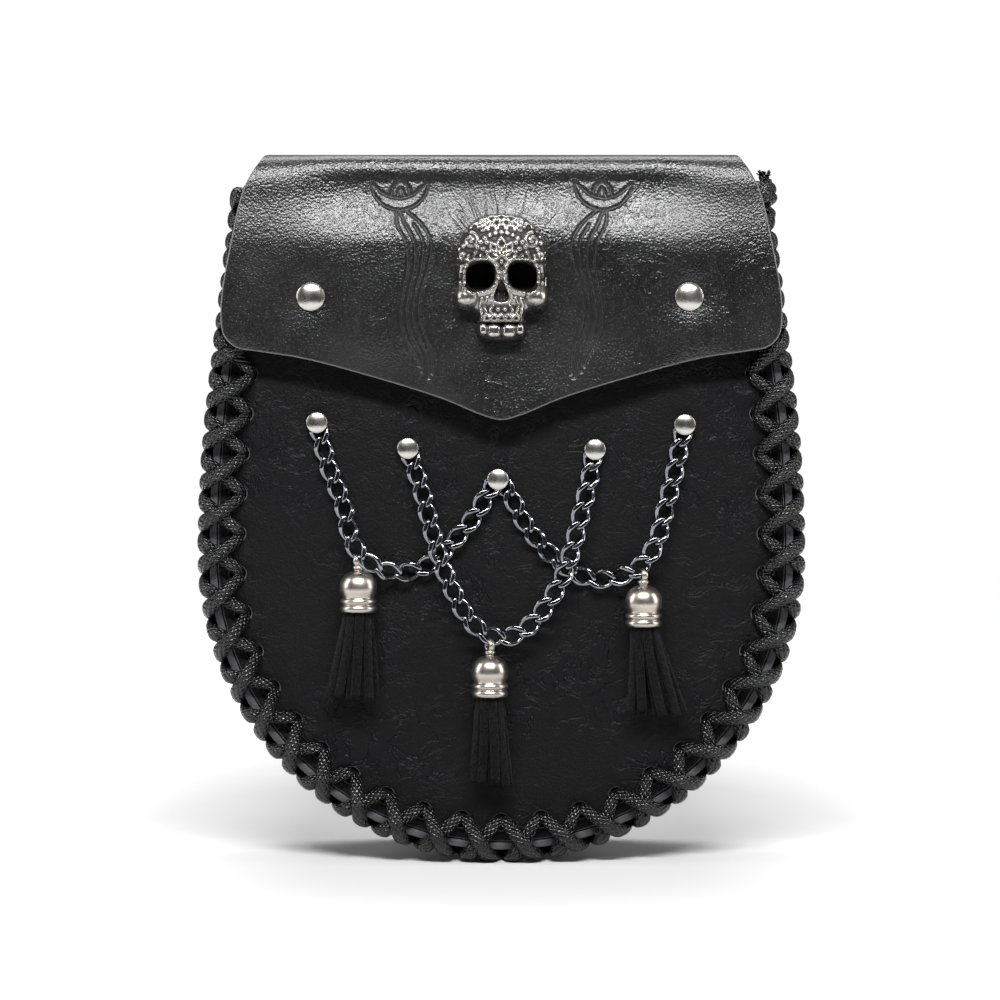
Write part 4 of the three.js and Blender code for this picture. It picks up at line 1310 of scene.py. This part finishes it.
def outward_from_face(x, below, lift, standoff=0.0):
    """Placement whose +Z points out of the leaning front."""
    place = Matrix.Translation(on_face(x, below, lift, standoff))
    return place @ FACE_TURN @ Matrix.Rotation(math.pi / 2, 4, "X")


def make_rivets():
    """Caps of the chain rivets with their held links, and the two rivets of the flap."""
    cap_material = polished_plate("nickel_plate_on_steel", colour("silver"), roughness=0.2)
    link_material = polished_plate("gunmetal_plate_held_links", colour("gunmetal"), roughness=0.09)
    for rivet in CHAIN_RIVETS:
        cap = moved(rivet_cap(radius=3.7, height=1.9),
                    outward_from_face(rivet.x, rivet.below, CAP_LIFT))
        post = moved(turned([(0, 0.2), (1.3, 0.2), (1.3, 3.0), (0, 3.0)], 20),
                     outward_from_face(rivet.x, rivet.below, 0))
        add_piece(f"{rivet.name}_cap", join_parts([cap, post]), cap_material,
                  [rivet.name])
        held = []
        for degrees in rivet.pulls:
            angle = math.radians(degrees)
            along = on_face(math.cos(angle), -math.sin(angle), 0) - on_face(0, 0, 0)
            held.append(place_link(curb_link(HELD_LINK_HALF_LENGTH, True),
                                   on_face(*pulled(rivet, degrees, HELD_LINK_REACH)), along))
        add_piece(f"{rivet.name}_held_links", join_parts(held), link_material,
                  [rivet.name])
    for name, (x, below) in zip(("left", "right"), FLAP_RIVETS):
        place = outward_from_face(x, below, -FLAP_CAP_SINK, FLAP_STANDOFF + LEATHER)
        add_piece(f"flap_rivet_cap_{name}", moved(rivet_cap(radius=5.0, height=2.7), place),
                  cap_material, [f"flap_rivet_{name}"])


# ------------------------------------------------------------------ tassels

# `x`, `below` and `lift` place the middle of a cap's eye, and `turn` faces it along the wire
# through it. The strips' ends lie around `lean`, as far as `spread` to either side.
Tassel = namedtuple("Tassel", "x below lift turn lean spread seed")
TASSELS = [
    Tassel(-49.3, 139.4, 6.5, -30, -2.6, 8.0, 4),
    Tassel(-4.0, 168.6, 6.6, 30, 0.4, 5.6, 9),
    Tassel(48.9, 144.4, 6.5, 20, 4.6, 9.0, 14),
]
# Radius and height of the cap, from the neck down; heights are from the middle of the eye.
CAP_PROFILE = [
    (0.0, -1.3), (1.1, -1.4), (1.8, -1.8), (2.0, -2.35), (1.75, -2.95), (1.35, -3.2), (1.5, -3.4),
    (2.9, -3.75), (4.5, -4.7), (5.6, -6.0), (6.2, -7.6), (6.4, -9.0), (6.3, -10.2), (6.0, -11.3),
    (5.5, -12.2), (5.4, -12.7), (5.45, -12.9), (5.8, -13.05), (6.15, -13.4), (6.3, -14.0),
    (6.15, -14.6), (5.75, -15.0), (5.5, -15.2), (5.75, -15.4), (6.15, -15.75), (6.3, -16.4),
    (6.2, -17.0), (5.95, -17.5), (5.6, -17.75), (5.2, -17.7), (5.1, -17.3), (5.1, -14.2),
    (0.0, -14.0),
]
CAP_RIM = -17.7
FRINGE_END = -48.4
SUEDE_THICKNESS = 1.35


def tassel_cap(turn):
    """Dome, neck and two beads turned in one, under a drop-shaped eye."""
    angles = np.linspace(0, 2 * np.pi, 28, endpoint=False)
    narrow = 1 - 0.18 * np.maximum(np.cos(angles), 0) ** 2
    ring = np.stack([np.zeros(28), 1.55 * np.sin(angles) * narrow, 1.75 * np.cos(angles)], 1)
    eye = tube(ring, np.tile((1.15, 0, 0), (28, 1)), unit(ring) * 0.72, closed=True)
    return moved(join_parts([turned(CAP_PROFILE[::-1], 56), eye]),
                 Matrix.Rotation(math.radians(turn), 4, "Z"))


def strip(top, bottom, top_turn, bottom_turn, belly, width):
    """A flat suede strip from `top` to `bottom`, bowed by `belly` and slowly turned on itself."""
    share = np.linspace(0, 1, 22)[:, None]
    outward = share ** 1.25
    centres = top + (bottom - top) * np.hstack([outward, outward, share])
    centres = centres + belly * np.sin(np.pi * share)
    turn = top_turn + (bottom_turn - top_turn) * share ** 0.8
    across = np.hstack([np.cos(turn), np.sin(turn), np.zeros_like(turn)])
    tangent = unit(np.gradient(centres, axis=0))
    across = unit(across - tangent * np.sum(across * tangent, 1, keepdims=True))
    half, thin, chamfer = width / 2, SUEDE_THICKNESS / 2, 0.16
    upper = np.array([
        (half, thin - chamfer), (half - chamfer, thin), (0, thin * 1.03), (chamfer - half, thin),
        (-half, thin - chamfer),
    ])
    return swept(centres, across, np.cross(tangent, across), np.vstack([upper, -upper]))


def tassel_fringe(tassel):
    """Two layers of strips, held in the cap and spread at their ends."""
    dice = np.random.default_rng(tassel.seed)
    pieces = []
    outer_layer, inner_layer = (8, 0.25, 3.7, 1.0, 3.4), (5, 0.75, 1.7, 0.55, 1.7)
    for count, offset, ring, fan, depth in (outer_layer, inner_layer):
        for index in range(count):
            angle = 2 * math.pi * (index + offset) / count
            side, front = math.cos(angle), math.sin(angle)
            top = np.array([ring * side, ring * front, CAP_RIM + 2.5])
            reach = tassel.spread * side * fan + tassel.lean
            end = np.array([
                reach + dice.uniform(-0.7, 0.7), depth * front, FRINGE_END + dice.uniform(0, 1.8),
            ])
            facing = math.remainder(angle + math.pi / 2, math.pi)
            belly = np.array([dice.uniform(-0.5, 0.5), 0.5 * front, 0])
            pieces.append(strip(top, end, facing, 0.35 * facing + dice.uniform(-0.3, 0.3), belly,
                                sizes("strip_width")))
    return join_parts(pieces)


def make_tassels():
    """Three suede tassels in domed caps, hooked through the chains by their eyes."""
    nickel = polished_plate("polished_nickel_plate", colour("nickel"), roughness=0.26)
    suede = suede_strip()
    for number, tassel in enumerate(TASSELS, 1):
        place = Matrix.Translation(on_face(*tassel[:3])) @ FACE_TURN
        add_piece(f"tassel_cap_dome_{number}", moved(tassel_cap(tassel.turn), place), nickel,
                  [f"tassel_cap_{number}"])
        add_piece(f"tassel_strips_{number}", moved(tassel_fringe(tassel), place), suede,
                  [f"tassel_fringe_{number}"])


# ------------------------------------------------------------------ skull emblem

# Right half of the emblem's outline from the crown down, (x, height) from its middle.
SKULL_OUTLINE = [
    (0.0, 22.2), (5.6, 21.5), (10.4, 19.0), (14.0, 14.8), (15.8, 9.8), (16.0, 5.2), (15.6, 1.0),
    (15.5, -2.6), (16.2, -5.6), (16.0, -8.6), (14.2, -10.6), (11.6, -11.0), (9.6, -11.2),
    (8.4, -12.6), (8.2, -14.6), (8.7, -17.2), (8.3, -19.8), (6.2, -21.2), (3.0, -21.9),
    (0.0, -21.9),
]
EYE_MIDDLE, EYE_HALF = np.array([7.1, 0.4]), np.array([5.1, 4.9])
NOSE_MIDDLE = -4.6
# Middle, width and low end of each tooth.
TEETH = [(-6.2, 3.2, -20.0), (-2.5, 5.2, -20.9), (2.6, 5.3, -20.9), (6.4, 3.2, -20.0)]
TEETH_TOP = -15.4
TEETH_GAPS = (-4.75, 0.05, 4.95)


def smooth_step(value, low, high):
    return ease(np.clip((value - low) / (high - low), 0, 1))


def relief_lines():
    """Raised work on the bone: a palmette over the brow between scrolls, rays round the eyes,
    scales on the crown and rows of beads. Places are in millimetres from the emblem's middle."""
    lines = []

    def spiral(centre, radius, rounds, start, hand):
        share = np.linspace(0, 1, 90)
        angle = start + hand * 2 * np.pi * rounds * share
        shrink = (radius * (1 - 0.88 * share))[:, None]
        lines.append(centre + shrink * np.stack([np.cos(angle), np.sin(angle)], 1))

    def petal(angle, length, width):
        share = np.linspace(0, 1, 30)
        across = width / 2 * np.sin(np.pi * share ** 0.8)
        ahead = 1.0 + (length - 1.0) * share
        for side in (-1, 1):
            lines.append(np.stack([
                ahead * math.sin(angle) + side * across * math.cos(angle),
                6.4 + ahead * math.cos(angle) - side * across * math.sin(angle),
            ], 1))

    def bead(centre, radius):
        lines.append(circle(centre, radius * 0.5, 8))

    def scale(x, z, half_width):
        around = np.linspace(0, np.pi, 14)
        lines.append(np.stack([x + half_width * np.cos(around), z + 1.5 * np.sin(around)], 1))

    for degrees in (-68, -34, 0, 34, 68):
        petal(math.radians(degrees), 7.2 - abs(degrees) / 40, 3.0)
    for degrees in range(-78, 79, 13):
        angle = math.radians(degrees)
        bead((9.0 * math.sin(angle), 6.4 + 8.9 * math.cos(angle)), 0.5)
    for side in (-1, 1):
        spiral((side * 10.6, 12.6), 2.8, 1.5, math.pi / 2, side)
        spiral((side * 13.2, 7.4), 1.9, 1.1, math.pi if side > 0 else 0, side)
        spiral((side * 6.6, 17.9), 1.9, 1.1, -math.pi / 2, -side)
        spiral((side * 2.2, 3.2), 1.0, 1.3, math.pi / 2, -side)
        for degrees in range(-30, 211, 20):
            way = np.array([math.cos(math.radians(degrees)), math.sin(math.radians(degrees))])
            ends = [EYE_MIDDLE + way * (EYE_HALF + reach) for reach in (0.9, 2.0)]
            lines.append(np.linspace(*ends, 8) * (side, 1))
        for curve in (
            [(13.9, 3.6), (14.7, 0.4), (14.4, -3.0)], [(5.0, -7.4), (5.9, -9.8), (5.4, -12.0)],
            [(3.0, -9.6), (3.7, -11.4), (3.2, -13.2)], [(6.9, -7.6), (7.4, -9.8), (6.9, -13.2)],
        ):
            lines.append(smooth_line(np.array(curve) * (side, 1), 0.2))
        bead((side * 1.2, -11.0), 0.5)
    for column in range(-2, 3):
        scale(2.5 * column, -14.3, 1.15)
    for row in range(3):
        for column in range(-3 + (row % 2), 4):
            x = 3.1 * (column - 0.5 * (row % 2))
            if abs(x) < 5.5 or row > 1:
                scale(x, 16.6 + 1.8 * row - 0.035 * x * x, 1.4)
    drawn = np.vstack(lines)
    for row in range(26):
        for column in range(-14, 15):
            spot = np.array([1.25 * (column + 0.5 * (row % 2)), 20.6 - 1.1 * row])
            if spot[1] > -3 and np.linalg.norm(drawn - spot, axis=1).min() > 1.35:
                bead(spot, 0.6)
                drawn = np.vstack([drawn, spot])
    return np.vstack(lines)


# Lumps of the casting: middle, half sizes, height, power of its section and height of its foot.
SKULL_LUMPS = [
    ((0, 7.6), (17.0, 15.8), 9.6, 2.0, 1.2), ((0, -3.5), (15.0, 13.0), 7.6, 2.0, 1.2),
    ((0, -13.0), (9.6, 10.5), 7.6, 2.6, 1.2), ((-11.6, -6.6), (5.4, 4.7), 8.6, 2.2, 1.0),
    ((11.6, -6.6), (5.4, 4.7), 8.6, 2.2, 1.0), ((-7.2, 5.9), (7.8, 2.1), 9.9, 2.0, 1.2),
    ((7.2, 5.9), (7.8, 2.1), 9.9, 2.0, 1.2), ((0, 1.2), (1.9, 5.6), 9.9, 2.0, 1.2),
]


def skull_height(x, z, rim_distance):
    """Height of the casting over its back in millimetres, and from 0 to 1 how deep in a dark
    hollow each place lies; round and below the teeth that dark is painted shade."""

    def dome(centre, radii, height, power):
        left = 1 - np.abs((x - centre[0]) / radii[0]) ** power
        return height * np.sqrt(np.maximum(left - np.abs((z - centre[1]) / radii[1]) ** power, 0))

    height = np.maximum.reduce([foot + dome(*lump) for *lump, foot in SKULL_LUMPS])
    below_gum = z < TEETH_TOP
    teeth = np.zeros_like(height)
    for middle, width, low in TEETH:
        tall = (TEETH_TOP - low) / 2
        shape = dome((middle, TEETH_TOP - tall), (width / 2, tall), 1.0, 3.0)
        teeth = np.maximum(teeth, np.where(shape > 0, 5.2 + 3.1 * shape, 0))
    height = np.where(below_gum, np.maximum(np.minimum(height, 3.4), teeth), height)

    gap = nearest_distance(np.stack([x, z], 1), relief_lines())
    on_bone = smooth_step(rim_distance, 0.3, 0.9) * smooth_step(z, -14.9, -14.3)
    height += 0.7 * ridge(gap, 0.46) * on_bone
    busy = np.maximum(0.3 + 0.7 * smooth_step(z, -4.0, 4.0),
                      smooth_step(-z, 7.5, 10) * smooth_step(-np.abs(x), -8.0, -6.0))
    ground = smooth_step(gap, 0.4, 0.62) * np.exp(-np.maximum(gap - 1.1, 0) / 4)
    hollow = 0.94 * ground * busy * on_bone

    for side in (-1, 1):
        across, up = x - side * EYE_MIDDLE[0], z - EYE_MIDDLE[1]
        up = up + side * 0.1 * across
        from_eye = np.abs(across / EYE_HALF[0]) ** 2.7 + np.abs(up / EYE_HALF[1]) ** 2.7
        from_eye = from_eye ** 0.5
        socket = 1 - smooth_step(from_eye, 0.8, 1.04)
        lip = ridge(from_eye - 1.22, 0.16)
        height += 0.5 * lip
        height -= socket * np.maximum(height - 1.1, 0)
        hollow = np.maximum(hollow * (1 - 0.8 * lip), smooth_step(socket, 0.2, 0.7))
    down = NOSE_MIDDLE - z
    half = np.clip(0.5 + 0.42 * (down + 3.6), 0.35, 3.3)
    nose = (np.abs(x / half) ** 2.2 + np.abs(down / 3.9) ** 3.4) ** 0.45
    nose_rim = ridge(nose - 1.12, 0.2)
    height += 0.7 * nose_rim
    cavity = 1 - smooth_step(nose, 0.66, 1.0)
    height -= cavity * np.maximum(height - 5.6, 0)
    septum = ridge(np.abs(x) - 0.95, 0.42) * smooth_step(-z, 4.2, 5.6) * cavity
    height += 2.2 * septum
    gum = ridge(z - TEETH_TOP, 0.4) * (np.abs(x) < 8.4)
    height -= 0.6 * gum
    between = np.minimum.reduce([np.abs(x - at) for at in TEETH_GAPS])
    # The antiquing blackens the hollows; the black below the gum line, off the teeth's crowns, is
    # painted shade.
    hollow = np.maximum.reduce([
        hollow * (1 - 0.7 * nose_rim), 0.75 * smooth_step(cavity, 0.3, 0.8) * (1 - 0.95 * septum),
        0.9 * ridge(between, 0.24) * below_gum, 0.93 * below_gum * (teeth < 4.9), 0.8 * gum,
    ])
    round_over = np.clip(rim_distance / 1.3, 0, 1)
    height = 0.3 + (height - 0.3) * np.sqrt(1 - (1 - round_over) ** 2)
    return np.maximum(height, 0.3), np.clip(hollow, 0, 1)


def make_skull():
    """A cast half-relief skull with generic scrollwork, seated on the flap."""
    right = smooth_line(SKULL_OUTLINE, 0.3)
    outline = np.vstack([right, right[-2:0:-1] * (-1, 1)])
    rings = 1 - np.linspace(0, 1, 112) ** 1.12
    count = len(outline)
    flat = np.vstack([(outline[None] * rings[:-1, None, None]).reshape(-1, 2), [(0, 0)]])
    midway = (outline + np.roll(outline, 1, 0)) / 2
    rim_distance = nearest_distance(flat, np.vstack([outline, midway]))
    rim_distance[:count] = 0
    height, hollow = skull_height(*flat.T, rim_distance)
    centre, inmost = len(flat) - 1, (len(rings) - 2) * count
    faces = ring_faces(len(rings) - 1, count)[:-1]
    faces += [(inmost + (k + 1) % count, centre, inmost + k) for k in range(count)]
    place = outward_from_face(0, SKULL_BELOW, 0, FLAP_STANDOFF + LEATHER)
    part = moved((np.column_stack([flat, height]), faces), place)
    piece = add_piece("skull_emblem_casting", part, antique_silver(),
                      ["skull_emblem"])
    add_attribute(piece, "hollow", hollow)


# ------------------------------------------------------------------ stage

FRAME_WIDTH = 345.0               # width of the picture at the front of the pouch
CAMERA_DISTANCE = 1500.0
CAMERA_HEIGHT_ANGLE = math.radians(6)
AIM = (-0.5, -40.0, -68.0)
LIGHT_AIM = (0, -30, -70)
# Name, place, width, height and power of each light.
LIGHTS = [
    ("softbox_left", (-950, -160, 300), 260, 800, 4.5),
    ("softbox_right", (1000, -160, 260), 260, 800, 4.5),
    ("strip_box_above_camera", (0, -830, 870), 1000, 140, 31),
    ("softbox_top", (0, 560, 1060), 1300, 650, 18),
]
FLOOR_RADIUS = 620.0


def add_to_scene(name, data):
    added = bpy.data.objects.new(name, data)
    bpy.context.scene.collection.objects.link(added)
    return added


def make_camera():
    camera = bpy.data.cameras.new("camera")
    camera.sensor_width = 36.0
    camera.lens = camera.sensor_width * CAMERA_DISTANCE / FRAME_WIDTH
    view = add_to_scene("camera", camera)
    back = Vector((0, -math.cos(CAMERA_HEIGHT_ANGLE), math.sin(CAMERA_HEIGHT_ANGLE)))
    view.location = (Vector(AIM) + back * CAMERA_DISTANCE) * MM
    view.rotation_euler = (-back).to_track_quat("-Z", "Y").to_euler()
    bpy.context.scene.camera = view


def make_floor():
    """A round pale floor under the pouch."""
    rim = circle((0, 0), FLOOR_RADIUS, 96)
    floor_z = CAD_BOX[0][2] / MM - 0.5
    mesh = bpy.data.meshes.new("floor")
    mesh.from_pydata([(x * MM, y * MM, floor_z * MM) for x, y in rim], [], [tuple(range(96))])
    mesh.materials.append(opal_floor())
    add_to_scene("floor", mesh)


def make_lights():
    """Four soft boxes and a dim room. What lies past the floor is seen as plain white."""
    scene = bpy.context.scene
    scene.view_settings.view_transform = "Standard"
    world = bpy.data.worlds.new("studio")
    world.use_nodes = True
    nodes = Nodes(world.node_tree)
    background = nodes.tree.nodes["Background"]
    background.inputs["Color"].default_value = (1.0, 1.0, 1.0, 1.0)
    seen = add_node(nodes.tree, "ShaderNodeLightPath").outputs["Is Camera Ray"]
    direction = add_node(nodes.tree, "ShaderNodeTexCoord").outputs["Generated"]
    forward = add_node(nodes.tree, "ShaderNodeSeparateXYZ", {0: direction}).outputs["Y"]
    lit = nodes.math("MAXIMUM", nodes.spread(forward, -0.95, -0.3, 0.05, 0.2), seen)
    nodes.tree.links.new(lit, background.inputs["Strength"])
    scene.world = world
    for name, place, width, height, power in LIGHTS:
        light = bpy.data.lights.new(name, "AREA")
        light.shape = "RECTANGLE"
        light.size, light.size_y = width * MM, height * MM
        light.energy = power
        lamp = add_to_scene(name, light)
        lamp.location = Vector(place) * MM
        toward = Vector(LIGHT_AIM) - Vector(place)
        lamp.rotation_euler = toward.to_track_quat("-Z", "Y").to_euler()


# ------------------------------------------------------------------ add-on


class POUCH_OT_stage(bpy.types.Operator):
    """Sets up the camera, the lights and the pale floor."""

    bl_idname = "pouch.stage"
    bl_label = "Stage"

    def execute(self, context):
        make_camera()
        make_floor()
        make_lights()
        return {"FINISHED"}


class POUCH_OT_front_panel(bpy.types.Operator):
    """Makes the punched front panel."""

    bl_idname = "pouch.front_panel"
    bl_label = "Front panel"

    def execute(self, context):
        make_front_panel()
        return {"FINISHED"}


class POUCH_OT_gusset(bpy.types.Operator):
    """Makes the side band."""

    bl_idname = "pouch.gusset"
    bl_label = "Gusset"

    def execute(self, context):
        make_gusset()
        return {"FINISHED"}


class POUCH_OT_back_and_flap(bpy.types.Operator):
    """Makes the back panel, fold and flap."""

    bl_idname = "pouch.back_and_flap"
    bl_label = "Back and flap"

    def execute(self, context):
        make_back_and_flap()
        return {"FINISHED"}


class POUCH_OT_belt_loops(bpy.types.Operator):
    """Makes the belt loops and their stitches, and the rear seam."""

    bl_idname = "pouch.belt_loops"
    bl_label = "Belt loops and seams"

    def execute(self, context):
        make_belt_loops()
        make_rear_seam()
        return {"FINISHED"}


class POUCH_OT_lacing(bpy.types.Operator):
    """Makes the cross-laced cord and its knot."""

    bl_idname = "pouch.lacing"
    bl_label = "Lacing"

    def execute(self, context):
        make_lacing()
        return {"FINISHED"}


class POUCH_OT_chains(bpy.types.Operator):
    """Makes the three chain swags."""

    bl_idname = "pouch.chains"
    bl_label = "Chains"

    def execute(self, context):
        make_chains()
        return {"FINISHED"}


class POUCH_OT_rivets(bpy.types.Operator):
    """Makes the rivets of the chains and the flap."""

    bl_idname = "pouch.rivets"
    bl_label = "Rivets"

    def execute(self, context):
        make_rivets()
        return {"FINISHED"}


class POUCH_OT_tassels(bpy.types.Operator):
    """Makes the three tassels."""

    bl_idname = "pouch.tassels"
    bl_label = "Tassels"

    def execute(self, context):
        make_tassels()
        return {"FINISHED"}


class POUCH_OT_skull(bpy.types.Operator):
    """Makes the cast skull emblem."""

    bl_idname = "pouch.skull"
    bl_label = "Skull emblem"

    def execute(self, context):
        make_skull()
        return {"FINISHED"}


OPERATORS = (
    POUCH_OT_stage, POUCH_OT_front_panel, POUCH_OT_gusset, POUCH_OT_back_and_flap,
    POUCH_OT_belt_loops, POUCH_OT_lacing, POUCH_OT_chains, POUCH_OT_rivets, POUCH_OT_tassels,
    POUCH_OT_skull,
)


class POUCH_PT_sidebar(bpy.types.Panel):
    """Lists the pouch's sizes, colours and pieces."""

    bl_idname = "POUCH_PT_sidebar"
    bl_label = "Laced belt pouch"
    bl_space_type = "VIEW_3D"
    bl_region_type = "UI"
    bl_category = "Pouch"

    def draw(self, context):
        for group in (context.scene.pouch_sizes, context.scene.pouch_colours):
            for name in group.__annotations__:
                self.layout.prop(group, name)
        for operator in OPERATORS:
            self.layout.operator(operator.bl_idname)


CLASSES = (PouchSizes, PouchColours, *OPERATORS, POUCH_PT_sidebar)


def register():
    for cls in CLASSES:
        bpy.utils.register_class(cls)
    bpy.types.Scene.pouch_sizes = bpy.props.PointerProperty(type=PouchSizes)
    bpy.types.Scene.pouch_colours = bpy.props.PointerProperty(type=PouchColours)


def unregister():
    del bpy.types.Scene.pouch_colours
    del bpy.types.Scene.pouch_sizes
    for cls in reversed(CLASSES):
        bpy.utils.unregister_class(cls)


def main():
    """Registers the add-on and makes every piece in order."""
    register()
    for operator in OPERATORS:
        group, name = operator.bl_idname.split(".")
        getattr(getattr(bpy.ops, group), name)()


if __name__ == "__main__":
    main()
